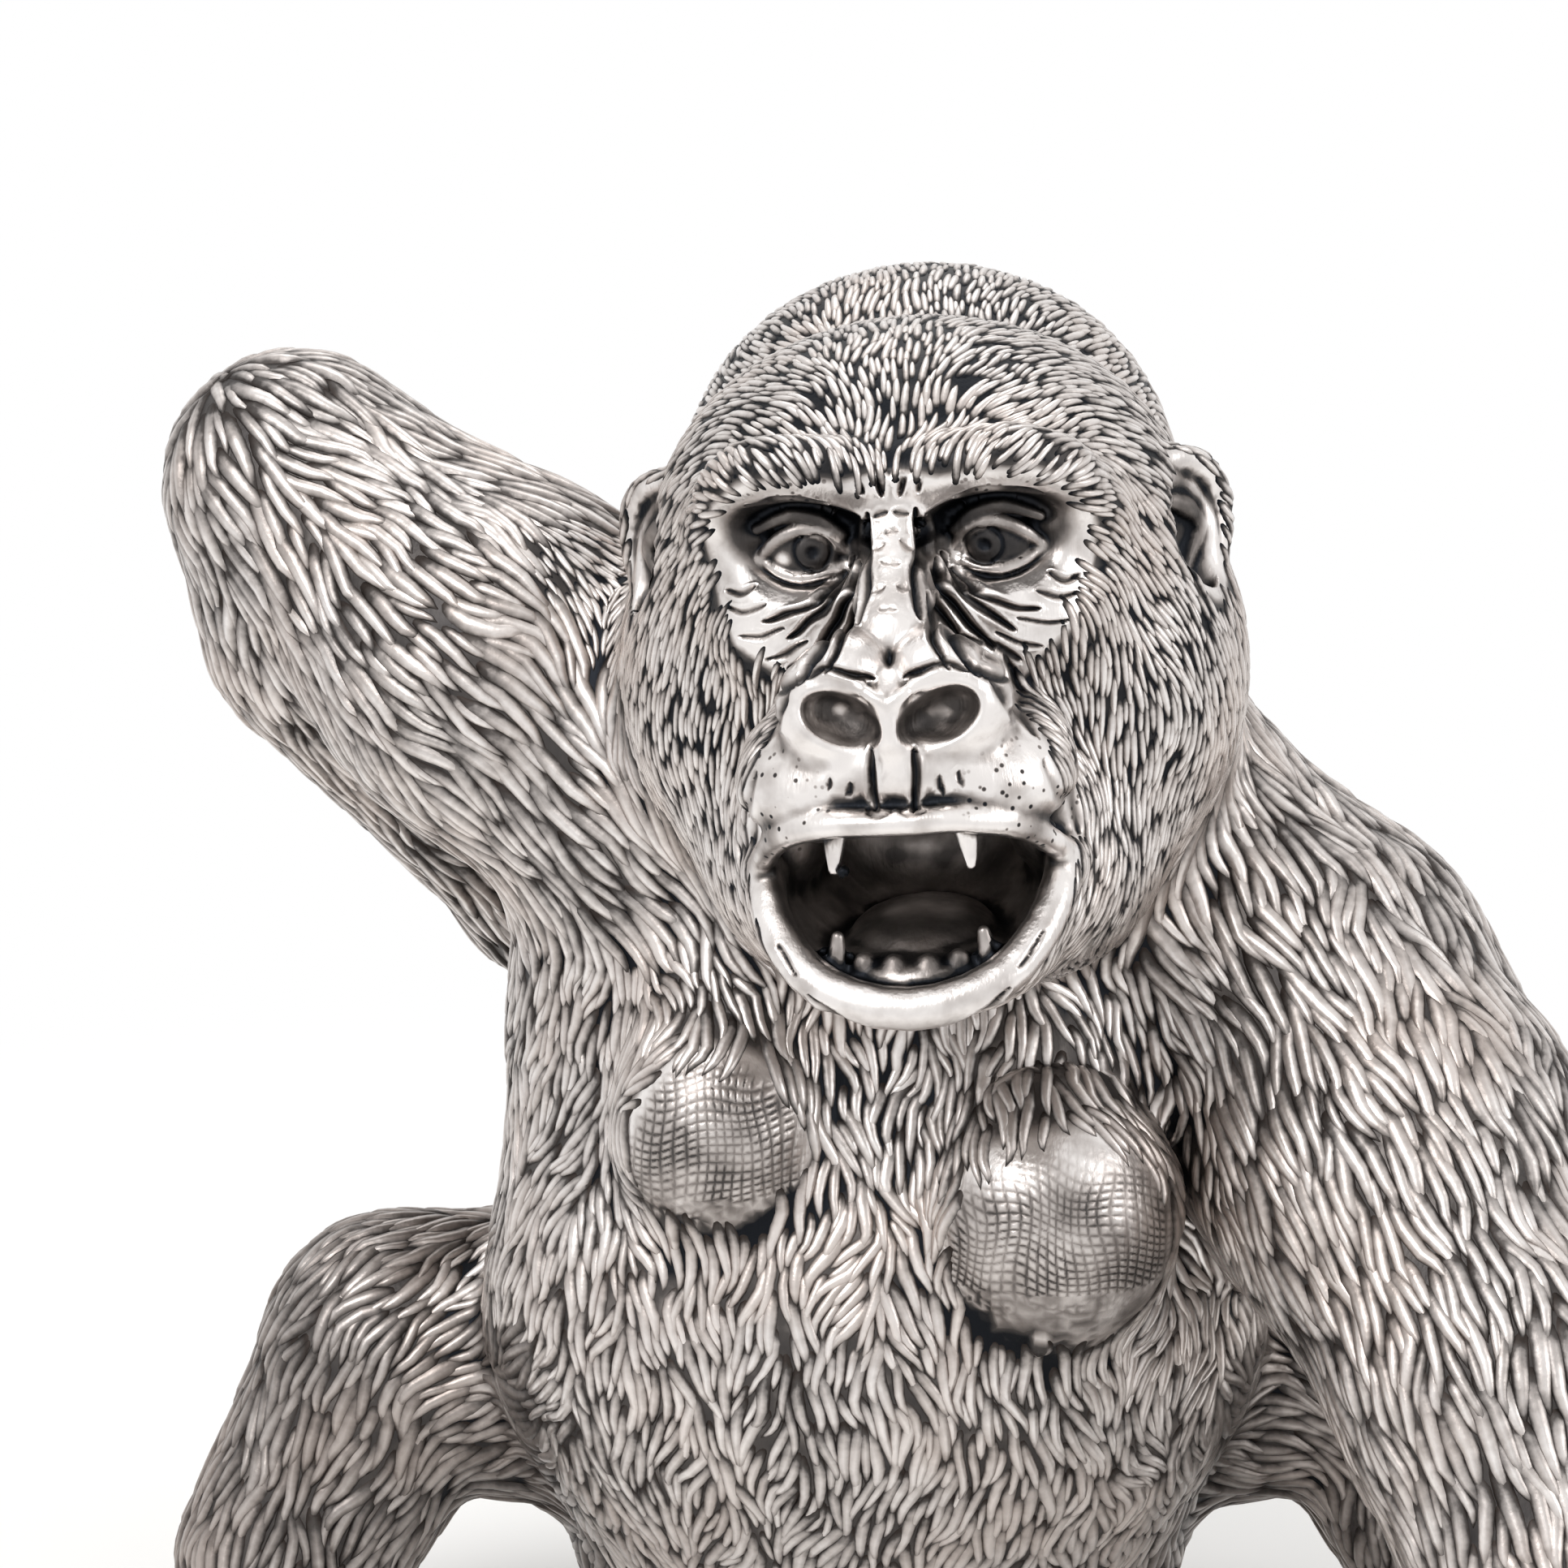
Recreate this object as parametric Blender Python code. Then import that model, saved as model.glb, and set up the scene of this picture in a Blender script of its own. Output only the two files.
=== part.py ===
"""A silver gorilla figurine, cast in one piece: seated, one hand on the ground, one hand on its back, mouth open.

Run it with:  blender --background --python part.py

The figure faces -Y, its own left is +X and up is +Z. The origin is on the ground under the middle of its seat.
It is made as a sculptor builds it up: masses of clay are laid on a skeleton and pressed into one skin, and the
skin is then drawn onto the soft blend of the same masses. The tables below are in millimetres.
"""

import math

import bmesh
import bpy
import numpy as np
from mathutils import Euler, Matrix, Vector

MM = 0.001

# Skeleton: joint centres in millimetres.
PELVIS = (0.0, 3.0, 15.0)
BELLY = (-0.5, -5.0, 29.0)
RIBS = (-0.5, -1.0, 47.0)
UPPER_BACK = (3.0, 5.0, 57.0)
NECK = (3.0, 1.0, 66.0)
RAISED_SHOULDER = (-15.0, -3.0, 64.0)
RAISED_ELBOW = (-39.0, 6.0, 82.0)
RAISED_WRIST = (-22.0, 18.5, 52.4)
PROP_SHOULDER = (28.4, -10.0, 50.4)
PROP_ELBOW = (39.5, -28.5, 30.0)
PROP_WRIST = (44.5, -41.0, 9.0)
HIP = (17.0, 6.0, 21.5)
KNEE = (32.8, 5.0, 22.4)
ANKLE = (40.5, 3.0, 8.0)

# Thickness of the limbs, as radii in millimetres.
SHOULDER_RADIUS = 12.0
UPPER_ARM_RADIUS = 12.0
ELBOW_RADIUS = 8.5
WRIST_RADIUS = 6.5
THIGH_RADIUS = 11.0
KNEE_RADIUS = 8.8
ANKLE_RADIUS = 7.6

# Head: its own frame has its origin midway between the eyes, and is turned and tilted with the neck.
EYES = (0.5, -31.0, 84.9)
HEAD_TURN_DEG = -6.9
HEAD_TILT_DEG = -4.0

# Skin: how finely it is wrapped, and how many triangles the finished casting keeps.
SKIN_STEP = 0.6
TRIANGLES = 10500

SILVER = (0.72, 0.69, 0.66)


class Mass:
    """One lump of clay: a ball (an ellipsoid) or a cord (round lengths, end to end, that taper)."""

    def __init__(self, kind, sizes, soft, cut=False, both=False):
        self.kind = kind
        self.sizes = sizes
        self.soft = soft
        self.cut = cut
        self.both = both

    def distance(self, points):
        """Distance of each point from the mass's surface, in millimetres, below zero inside it."""
        if self.both:
            points = points.copy()
            points[:, 0] = np.abs(points[:, 0])
        if self.kind == "ball":
            centre, radii, turn = self.sizes
            local = (points - np.array(centre, np.float32)) @ turned(turn)
            near = np.linalg.norm(local / radii, axis=1)
            slope = np.linalg.norm(local / np.square(radii), axis=1)
            return near * (near - 1) / np.maximum(slope, 1e-6)
        path, radii = self.sizes
        nearest = None
        for start, end, first, last in zip(path, path[1:], radii, radii[1:]):
            along = end - start
            share = np.clip((points - start) @ along / (along @ along), 0, 1)
            axis = start + share[:, None] * along
            near = np.linalg.norm(points - axis, axis=1) - (first + (last - first) * share)
            nearest = near if nearest is None else np.minimum(nearest, near)
        return nearest

    def shells(self):
        """Closed meshes of the mass, and their mirror images where it has any, as bmesh objects."""
        made = self.one_side()
        if self.both:
            for shell in self.one_side():
                bmesh.ops.scale(shell, vec=(-1, 1, 1), verts=shell.verts)
                bmesh.ops.reverse_faces(shell, faces=shell.faces)
                made.append(shell)
        return made

    def one_side(self):
        if self.kind == "ball":
            centre, radii, turn = self.sizes
            bm = bmesh.new()
            place = Matrix.Translation(centre) @ rotation(turn).to_4x4() @ Matrix.Diagonal((*radii, 1))
            bmesh.ops.create_icosphere(bm, subdivisions=3, radius=1, matrix=place)
            return [bm]
        path, radii = self.sizes
        return [length_shell(*four) for four in zip(path, path[1:], radii, radii[1:])]


def length_shell(start, end, first, last):
    """The hull of two balls: one length of a cord."""
    balls = bmesh.new()
    for centre, radius in ((start, first), (end, last)):
        bmesh.ops.create_icosphere(balls, subdivisions=2, radius=radius, matrix=Matrix.Translation(centre))
    hull = bmesh.new()
    for vert in balls.verts:
        hull.verts.new(vert.co)
    balls.free()
    made = bmesh.ops.convex_hull(hull, input=hull.verts)
    inner = [v for v in made["geom_interior"] if isinstance(v, bmesh.types.BMVert)]
    bmesh.ops.delete(hull, geom=inner, context="VERTS")
    return hull


def rotation(turn):
    """Rotation matrix of three Euler angles in degrees."""
    return Euler([math.radians(a) for a in turn]).to_matrix()


def turned(turn):
    return np.array(rotation(turn), np.float32)


def ball(centre, radii, soft=2.0, turn=(0, 0, 0), **kind):
    return Mass("ball", (centre, np.array(radii, np.float32), turn), soft, **kind)


def cord(path, radii, soft=1.0, **kind):
    return Mass("cord", ([np.array(p, np.float32) for p in path], radii), soft, **kind)


def limb(start, end, first, last, soft=2.0, **kind):
    return cord([start, end], (first, last), soft, **kind)


def fold(path, radii, soft=1.0, steps=3, **kind):
    """A cord bent smoothly through the points."""
    points = [Vector(p) for p in path]
    points = [points[0] * 2 - points[1], *points, points[-1] * 2 - points[-2]]
    bent, thick = [], []
    for n in range(len(path) - 1):
        a, b, c, d = points[n:n + 4]
        for k in range(steps):
            t = k / steps
            bend = (c - a) * t + (a * 2 - b * 5 + c * 4 - d) * t**2 + (b * 3 - a - c * 3 + d) * t**3
            bent.append(tuple(b + bend / 2))
            thick.append(radii[n] + (radii[n + 1] - radii[n]) * t)
    return cord(bent + [path[-1]], thick + [radii[-1]], soft, **kind)


def between(a, b, share):
    return tuple(p + (q - p) * share for p, q in zip(a, b))


def shifted(point, x=0.0, y=0.0, z=0.0):
    return (point[0] + x, point[1] + y, point[2] + z)


def mirrored(point):
    return (-point[0], point[1], point[2])


def torso():
    return [
        ball(PELVIS, (20, 17, 17)),
        ball(shifted(PELVIS, 11, 3, -3), (10, 12, 13), 4, both=True),
        ball(BELLY, (26, 20, 22), 6),
        ball(RIBS, (24.5, 17.5, 22), 6),
        ball(UPPER_BACK, (22, 14, 17), 5),
        ball(shifted(RIBS, 4, -4, 12), (22, 14, 12), 5),
        limb(NECK, (3.0, -9.0, 74.0), 16, 17, 4),
        limb(shifted(NECK, 0, 5.0, -4.0), (3.5, -4.0, 80.0), 15, 14.5, 5),
        limb(shifted(NECK, 9.0, -5.0, -1.0), shifted(PROP_SHOULDER, -2.0, 1.0, 0.5), 11.5, 11.0, 4),
        ball((-10.5, -18.2, 42.2), (6.3, 6.2, 7.6), 2.4, turn=(14, 0, 0)),
        ball((10.8, -21.7, 37.0), (7.8, 6.9, 8.4), 2.4, turn=(14, 0, 0)),
        limb((-13.6, -21.0, 38.9), (-14.4, -22.0, 37.5), 1.1, 0.9, 0.5),
        limb((9.9, -25.2, 31.2), (9.6, -26.2, 29.0), 1.2, 0.9, 0.5),
    ]


def hand(wrist, palm, reach, spread, curl, width=6.0):
    """A palm and four fingers that run along reach, side by side along spread, bent towards curl."""
    reach, spread, curl = Vector(reach).normalized(), Vector(spread).normalized(), Vector(curl).normalized()
    palm = Vector(palm)
    parts = [limb(wrist, tuple(palm), WRIST_RADIUS, 5.2, 3)]
    for place, length in ((-1.5, 7.5), (-0.5, 9.0), (0.5, 9.0), (1.5, 7.8)):
        knuckle = palm + spread * place * width / 2 + reach * 3.2
        middle = knuckle + reach * length * 0.55 - curl * 0.6
        tip = knuckle + reach * length + curl * 1.6
        path = [tuple(knuckle), tuple(middle), tuple(tip)]
        parts.append(cord(path, (2.3, 2.1, 1.7), 0.7))
    thumb = palm - spread * width * 0.8 - reach * 1.0
    tip = thumb - spread * 2.6 + reach * 4.0 + curl * 0.8
    parts.append(limb(thumb, tip, 2.4, 1.7, 0.8))
    return parts


def raised_arm():
    middle = shifted(between(RAISED_SHOULDER, RAISED_ELBOW, 0.45), 0, -1.0, -0.4)
    muscle = shifted(between(RAISED_ELBOW, RAISED_WRIST, 0.3), -2.8, -0.5, -0.8)
    return [
        limb(RAISED_SHOULDER, middle, SHOULDER_RADIUS, UPPER_ARM_RADIUS - 0.5, 5),
        limb(middle, RAISED_ELBOW, UPPER_ARM_RADIUS - 0.5, ELBOW_RADIUS, 3),
        cord([RAISED_ELBOW, muscle, RAISED_WRIST], (ELBOW_RADIUS, ELBOW_RADIUS + 0.6, WRIST_RADIUS), 1.4),
        *hand(RAISED_WRIST, (-13, 21, 49), (0.9, 0.1, -0.45), (0.45, 0.1, 0.9), (0, -1, 0)),
    ]


def prop_arm():
    middle = shifted(between(PROP_SHOULDER, PROP_ELBOW, 0.45), 0, 0.5, 0)
    return [
        limb(PROP_SHOULDER, middle, SHOULDER_RADIUS - 0.5, UPPER_ARM_RADIUS, 5),
        limb(middle, PROP_ELBOW, UPPER_ARM_RADIUS, ELBOW_RADIUS + 2, 3),
        limb(PROP_ELBOW, PROP_WRIST, ELBOW_RADIUS + 2, WRIST_RADIUS + 1, 3),
        *hand(PROP_WRIST, (47.5, -46.5, 4.0), (-0.1, -1, -0.1), (1, -0.1, 0), (0, 0, -1)),
    ]


def legs():
    foot = shifted(ANKLE, 3.5, -13, -5.5)
    heel = shifted(ANKLE, -0.5, 4, -4.5)
    made = [
        limb(HIP, KNEE, THIGH_RADIUS, KNEE_RADIUS, 2.5, both=True),
        limb(KNEE, ANKLE, KNEE_RADIUS, ANKLE_RADIUS, 2.0, both=True),
        limb(heel, foot, 5.0, 4.2, 2.5, both=True),
    ]
    for n, length in enumerate((5.0, 6.0, 6.0, 5.2)):
        root = shifted(foot, 4.2 - 2.6 * n, -2.0 + abs(n - 1.5) * -0.2, -0.6)
        made.append(limb(root, shifted(root, 0.7 - 0.2 * n, -length, -0.6), 2.2, 1.8, 0.6, both=True))
    big = shifted(foot, -4.5, 3.0, -0.4)
    made.append(limb(big, shifted(big, -2.4, -5.0, -0.6), 2.6, 2.0, 0.8, both=True))
    return made


def skull():
    """The head without its muzzle, in the head's frame: x to its left, y backwards, z up."""
    return [
        ball((0, 12.5, -1.4), (16.8, 15.5, 13.2)),
        ball((-1.0, 26.5, 0.2), (15.4, 14, 13.1), 1.2),
        ball((9.3, 15, -11), (10.6, 13.5, 14), 3, both=True),
        ball((0, 7, -6), (13, 9.5, 11), 3),
        ball((5.0, 9, -21), (9.6, 12, 9), 3, both=True),
        ball((0, 0, -22.6), (10.4, 10.8, 6.5), 3),
    ]


def mouth_hole():
    return [ball((0, -5.5, -17.2), (9.1, 15, 9.8), 0.8, cut=True)]


def face():
    """What lies over the open mouth and on the front of the head."""
    lip = [(0, -12.0, -15.4), (4.2, -11.2, -15.5), (7.4, -8.8, -16.6), (9.2, -4.8, -18.8), (9.6, -1.0, -20.2)]
    lower = [(9.4, -1.0, -20.4), (9.2, -4.6, -20.6), (8.2, -7.4, -23.2), (5.2, -10.0, -26.0), (0, -11.2, -27.3)]
    ridge = [(0, -1.5, 3.4), (3.4, -2.4, 4.3), (7.0, -2.4, 4.8), (10.3, -0.6, 3.7), (11.7, 2.2, 0.8), (11.2, 3.6, -2.4)]
    return [
        fold([shifted(p, 0, 0.4, 0.5) for p in ridge[:5]], (1.3, 1.6, 1.8, 1.6, 1.2), 3.0, both=True),
        ball((0, -2.6, -12.6), (9.8, 9.0, 4.6), 1.5),
        ball((5.2, -5.0, -14.2), (5.1, 5.7, 3.4), 1.8, both=True),
        ball((8.2, 1.0, -17.5), (3.0, 4.0, 4.0), 1.5, both=True),
        fold(lip, (0.8, 0.8, 0.8, 0.8, 0.8), 1.0, both=True),
        fold(lower, (0.9, 1.0, 1.2, 1.4, 1.4), 1.2, both=True),
        fold(ridge, (0.9, 1.3, 1.4, 1.3, 1.2, 0.9), 1.2, both=True),
        limb((0, -0.4, 1.5), (0, -6.2, -5.0), 1.9, 2.8, 1.5),
        ball((3.6, -8.3, -8.8), (3.7, 3.4, 3.7), 1.0, both=True),
        ball((2.6, -8.2, -6.4), (2.5, 2.8, 2.3), 0.8, both=True),
        ball((0, -10.0, -9.4), (1.6, 2.4, 3.2), 0.8),
        ball((7.4, 1.4, -5.6), (4.6, 3.2, 3.6), 1.5, both=True),
        ball((17.2, 14.2, -2.2), (1.9, 4.6, 5.0), 0.8, turn=(0, 0, -38), both=True),
    ]


def mouth_parts():
    fang_root, fang_tip = (4.1, -9.8, -16.0), (4.15, -10.0, -19.2)
    tusk_root, tusk_tip = (4.8, -7.8, -25.4), (4.5, -8.1, -22.6)
    return [
        ball((0, -1.0, -24.4), (4.4, 6.5, 1.8), 0.6),
        ball((0, -2.5, -25.6), (6.4, 7.6, 1.8), 0.6),
        limb(fang_root, fang_tip, 1.0, 0.45, 0.3, both=True),
        limb(tusk_root, tusk_tip, 1.0, 0.5, 0.3, both=True),
        ball((1.1, -8.9, -24.9), (0.95, 0.9, 1.2), 0.3, both=True),
        ball((3.0, -8.4, -24.8), (0.9, 0.9, 1.1), 0.3, both=True),
    ]


def hollows():
    """Eye sockets with the eyes in them, the notch of the nose, nostrils and ear hollows."""
    return [
        ball((6.6, -2.8, -0.5), (4.8, 4.0, 2.7), 0.8, cut=True, both=True),
        ball((5.65, 3.0, -0.4), (3.3, 3.7, 2.5), 0.5, both=True),
        ball((0, -12.0, -5.2), (0.7, 2.6, 1.8), 0.5, cut=True),
        ball((3.1, -12.0, -9.0), (2.7, 2.8, 1.7), 0.5, turn=(0, -24, 0), cut=True, both=True),
        ball((19.0, 12.6, -2.0), (1.6, 3.2, 3.6), 0.5, turn=(0, 0, -38), cut=True, both=True),
    ]


def pressed(masses, points, start=None):
    """The soft blend of the masses: each joins, or cuts into, what the ones before it made."""
    total = start
    for mass in masses:
        near = mass.distance(points)
        if total is None:
            total = near
            continue
        if mass.cut:
            near = -near
            mix = np.clip(0.5 - 0.5 * (total - near) / mass.soft, 0, 1)
            total = total + (near - total) * mix + mass.soft * mix * (1 - mix)
        else:
            mix = np.clip(0.5 + 0.5 * (total - near) / mass.soft, 0, 1)
            total = total + (near - total) * mix - mass.soft * mix * (1 - mix)
    return total


def head_frame():
    turn = Euler((0, math.radians(HEAD_TILT_DEG), math.radians(HEAD_TURN_DEG))).to_matrix().to_4x4()
    return Matrix.Translation(EYES) @ turn


BODY = torso() + raised_arm() + prop_arm() + legs()
HEAD_ROUGH = skull()
HEAD_FINE = face() + mouth_parts()
HEAD_JOIN = 4.0


def field(points):
    """Distance of each point in millimetres from the whole figure's skin."""
    frame = np.array(head_frame(), np.float32)
    local = (points - frame[:3, 3]) @ frame[:3, :3]
    head = pressed(HEAD_ROUGH + mouth_hole() + HEAD_FINE + hollows(), local)
    body = pressed(BODY, points)
    mix = np.clip(0.5 + 0.5 * (body - head) / HEAD_JOIN, 0, 1)
    return body + (head - body) * mix - HEAD_JOIN * mix * (1 - mix)


def joined(masses, name, frame=None):
    """One mesh object of all the masses' overlapping shells."""
    whole = bmesh.new()
    for mass in masses:
        for shell in mass.shells():
            if frame is not None:
                bmesh.ops.transform(shell, matrix=frame, verts=shell.verts)
            part = bpy.data.meshes.new("shell")
            shell.to_mesh(part)
            shell.free()
            whole.from_mesh(part)
            bpy.data.meshes.remove(part)
    mesh = bpy.data.meshes.new(name)
    whole.to_mesh(mesh)
    whole.free()
    made = bpy.data.objects.new(name, mesh)
    bpy.context.scene.collection.objects.link(made)
    return made


def settled(made):
    """Applies the object's modifiers."""
    bpy.context.view_layer.update()
    graph = bpy.context.evaluated_depsgraph_get()
    mesh = bpy.data.meshes.new_from_object(made.evaluated_get(graph))
    old = made.data
    made.modifiers.clear()
    made.data = mesh
    bpy.data.meshes.remove(old)
    return made


def wrapped(made):
    """Turns overlapping shells into one closed skin."""
    skin = made.modifiers.new("skin", "REMESH")
    skin.mode = "VOXEL"
    skin.voxel_size = SKIN_STEP
    return settled(made)


def gathered(first, second):
    """Adds the second object's mesh to the first's."""
    bm = bmesh.new()
    bm.from_mesh(first.data)
    bm.from_mesh(second.data)
    bm.to_mesh(first.data)
    bm.free()
    bpy.data.objects.remove(second)
    return first


def rough_casting():
    """The figure as one closed skin around the bare masses, with the mouth hollowed out."""
    frame = head_frame()
    rough = gathered(joined(BODY, "gorilla"), joined(HEAD_ROUGH, "head", frame))
    wrapped(rough)
    hole = joined(mouth_hole(), "mouth_cutter", frame)
    cut = rough.modifiers.new("mouth", "BOOLEAN")
    cut.operation = "DIFFERENCE"
    cut.object = hole
    settled(rough)
    bpy.data.objects.remove(hole)
    return wrapped(gathered(rough, joined(HEAD_FINE, "face", frame)))


def drawn_on(mesh, folds=8, rounds=6):
    """Moves the skin onto the soft blend of the masses.

    The blend fills the sharp folds between the masses, so the skin is first eased out of them: only points that
    lie deep under the blend follow their neighbours.
    """
    count = len(mesh.vertices)
    place = np.empty(count * 3, np.float32)
    mesh.vertices.foreach_get("co", place)
    place = place.reshape(-1, 3)
    ends = np.empty(len(mesh.edges) * 2, np.int32)
    mesh.edges.foreach_get("vertices", ends)
    ends = ends.reshape(-1, 2)
    both = np.concatenate([ends, ends[:, ::-1]])
    links = np.maximum(np.bincount(both[:, 0], minlength=count), 1)

    def eased(share):
        middle = [np.bincount(both[:, 0], place[both[:, 1], n], count) / links for n in range(3)]
        return ((np.stack(middle, 1) - place) * share).astype(np.float32)

    for turn in range(folds):
        deep = np.clip((-field(place) - 0.05) / 0.25, 0, 1)
        for again in range(3):
            place = place + eased(0.7) * deep[:, None]
    for turn in range(rounds):
        mesh.vertices.foreach_set("co", place.ravel())
        mesh.update()
        normal = np.empty(count * 3, np.float32)
        mesh.vertex_normals.foreach_get("vector", normal)
        normal = normal.reshape(-1, 3)
        step = np.clip(field(place), -SKIN_STEP, SKIN_STEP)
        place = place - normal * step[:, None]
        if turn < rounds - 2:
            ease = eased(0.5)
            ease -= normal * np.sum(ease * normal, axis=1)[:, None]
            place = place + ease
    mesh.vertices.foreach_set("co", place.ravel())
    mesh.update()


def stood(made):
    """Files the underside flat on the ground and turns millimetres into metres."""
    bm = bmesh.new()
    bm.from_mesh(made.data)
    whole = bm.verts[:] + bm.edges[:] + bm.faces[:]
    ground = bmesh.ops.bisect_plane(
        bm, geom=whole, dist=1e-4, plane_co=(0, 0, 0), plane_no=(0, 0, 1), clear_inner=True
    )
    rim = [e for e in ground["geom_cut"] if isinstance(e, bmesh.types.BMEdge)]
    bmesh.ops.holes_fill(bm, edges=rim, sides=0)
    bmesh.ops.triangulate(bm, faces=bm.faces[:])
    bmesh.ops.scale(bm, vec=(MM, MM, MM), verts=bm.verts)
    bm.to_mesh(made.data)
    bm.free()


def silver():
    material = bpy.data.materials.new("oxidised_silver")
    material.use_nodes = True
    shader = material.node_tree.nodes["Principled BSDF"]
    shader.inputs["Base Color"].default_value = (*SILVER, 1)
    shader.inputs["Metallic"].default_value = 1.0
    shader.inputs["Roughness"].default_value = 0.3
    return material


def main():
    for old in list(bpy.data.objects):
        bpy.data.objects.remove(old)
    figure = rough_casting()
    drawn_on(figure.data)
    stood(figure)
    figure.data.materials.clear()
    figure.data.materials.append(silver())
    figure.data.shade_smooth()
    thin = figure.modifiers.new("triangles", "DECIMATE")
    thin.ratio = min(1.0, TRIANGLES / len(figure.data.polygons))
    return figure


main()
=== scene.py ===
# %% [markdown]
# A small gorilla of cast silver, seated, with one hand on the ground and the other behind its back.
# The real one starts as a clay or wax model, is cast hollow by lost wax, and its coat is then chased
# stroke by stroke. Liver of sulphur turns the whole skin nearly black, and polishing brings the
# silver back on everything that stands proud, so that the strokes read light on dark.
# This scene follows the same order: a smooth body first, then the bare face, then the strokes of hair,
# and at last the dark and bright finish.

import math

import bmesh
import bpy
import numpy as np
from mathutils import Euler, Matrix, Vector
from mathutils.bvhtree import BVHTree
from mathutils.kdtree import KDTree


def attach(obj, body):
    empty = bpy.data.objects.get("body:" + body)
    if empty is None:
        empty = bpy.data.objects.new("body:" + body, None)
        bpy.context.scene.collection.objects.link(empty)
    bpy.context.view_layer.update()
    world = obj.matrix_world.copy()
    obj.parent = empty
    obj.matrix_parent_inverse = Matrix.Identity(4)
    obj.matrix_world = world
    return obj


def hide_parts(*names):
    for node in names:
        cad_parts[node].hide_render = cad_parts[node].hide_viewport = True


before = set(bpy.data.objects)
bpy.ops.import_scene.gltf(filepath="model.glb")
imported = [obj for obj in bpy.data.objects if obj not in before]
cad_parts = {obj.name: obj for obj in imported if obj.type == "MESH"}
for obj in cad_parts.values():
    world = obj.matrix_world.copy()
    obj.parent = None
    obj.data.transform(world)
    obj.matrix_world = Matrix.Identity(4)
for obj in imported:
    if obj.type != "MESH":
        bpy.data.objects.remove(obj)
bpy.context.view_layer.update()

# %% [markdown]
# The photograph is a close-up from the front, a little above the figure's eyes. A long lens from about
# 45 cm keeps the head's roundness without making the nose large. The lens and place below put the
# figure's landmarks where the photograph has them.

# %% Camera
view_down = math.radians(12)
camera_data = bpy.data.cameras.new("camera")
camera_data.lens = 163.96
camera_data.sensor_width = 36
camera_data.clip_start = 0.02
camera = bpy.data.objects.new("camera", camera_data)
camera.location = (-0.0066, -0.4645, 0.1616)
camera.rotation_euler = (math.pi / 2 - view_down, 0, 0)
bpy.context.scene.collection.objects.link(camera)
bpy.context.scene.camera = camera

# %% [markdown]
# Clay lumps pressed together have soft valleys between them. The same thing in numbers is a distance
# field: each lump tells how far a point is from its surface, and neighbours are blended over a short
# width. The solid was made from these lumps, so they are repeated here in millimetres, with the finer
# ones added that only show close up: eyelids, ear folds and lips. A mesh drawn onto this field gets
# smooth, exact forms at any fineness.

# %% Lumps of clay
def turn_matrix(degrees):
    return np.array(Euler([math.radians(a) for a in degrees]).to_matrix(), np.float32)


def ball(centre, radii, soft=2.0, turn=(0, 0, 0), cut=False, both=False):
    centre, radii, turn = np.array(centre, np.float32), np.array(radii, np.float32), turn_matrix(turn)

    def distance(points):
        local = (points - centre) @ turn
        near = np.linalg.norm(local / radii, axis=1)
        slope = np.linalg.norm(local / np.square(radii), axis=1)
        return near * (near - 1) / np.maximum(slope, 1e-6)

    return distance, soft, cut, both


def cord(path, radii, soft=1.0, cut=False, both=False):
    path = [np.array(p, np.float32) for p in path]

    def distance(points):
        nearest = None
        for start, end, first, last in zip(path, path[1:], radii, radii[1:]):
            along = end - start
            share = np.clip((points - start) @ along / (along @ along), 0, 1)
            axis = start + share[:, None] * along
            near = np.linalg.norm(points - axis, axis=1) - (first + (last - first) * share)
            nearest = near if nearest is None else np.minimum(nearest, near)
        return nearest

    return distance, soft, cut, both


def bent(path, steps=3):
    """The points of a smooth curve through path."""
    points = [Vector(p) for p in path]
    points = [points[0] * 2 - points[1], *points, points[-1] * 2 - points[-2]]
    made = []
    for n in range(len(path) - 1):
        a, b, c, d = points[n:n + 4]
        for k in range(steps):
            t = k / steps
            bend = (c - a) * t + (a * 2 - b * 5 + c * 4 - d) * t**2 + (b * 3 - a - c * 3 + d) * t**3
            made.append(tuple(b + bend / 2))
    return made + [tuple(path[-1])]


def fold(path, radii, soft=1.0, steps=3, **kind):
    spread = np.interp(np.linspace(0, len(path) - 1, (len(path) - 1) * steps + 1), range(len(path)), radii)
    return cord(bent(path, steps), list(spread), soft, **kind)


def limb(start, end, first, last, soft=2.0, **kind):
    return cord([start, end], (first, last), soft, **kind)


def blended(lumps, points, total=None):
    """Distance from the blend of the lumps, in millimetres, below zero inside."""
    mirrored = np.abs(points[:, :1])
    mirrored = np.concatenate([mirrored, points[:, 1:]], axis=1)
    for distance, soft, cut, both in lumps:
        near = distance(mirrored if both else points)
        if total is None:
            total = near
            continue
        side = -1 if cut else 1
        near = near * side
        mix = np.clip(0.5 + 0.5 * side * (total - near) / soft, 0, 1)
        total = total + (near - total) * mix - side * soft * mix * (1 - mix)
    return total.astype(np.float32)


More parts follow.
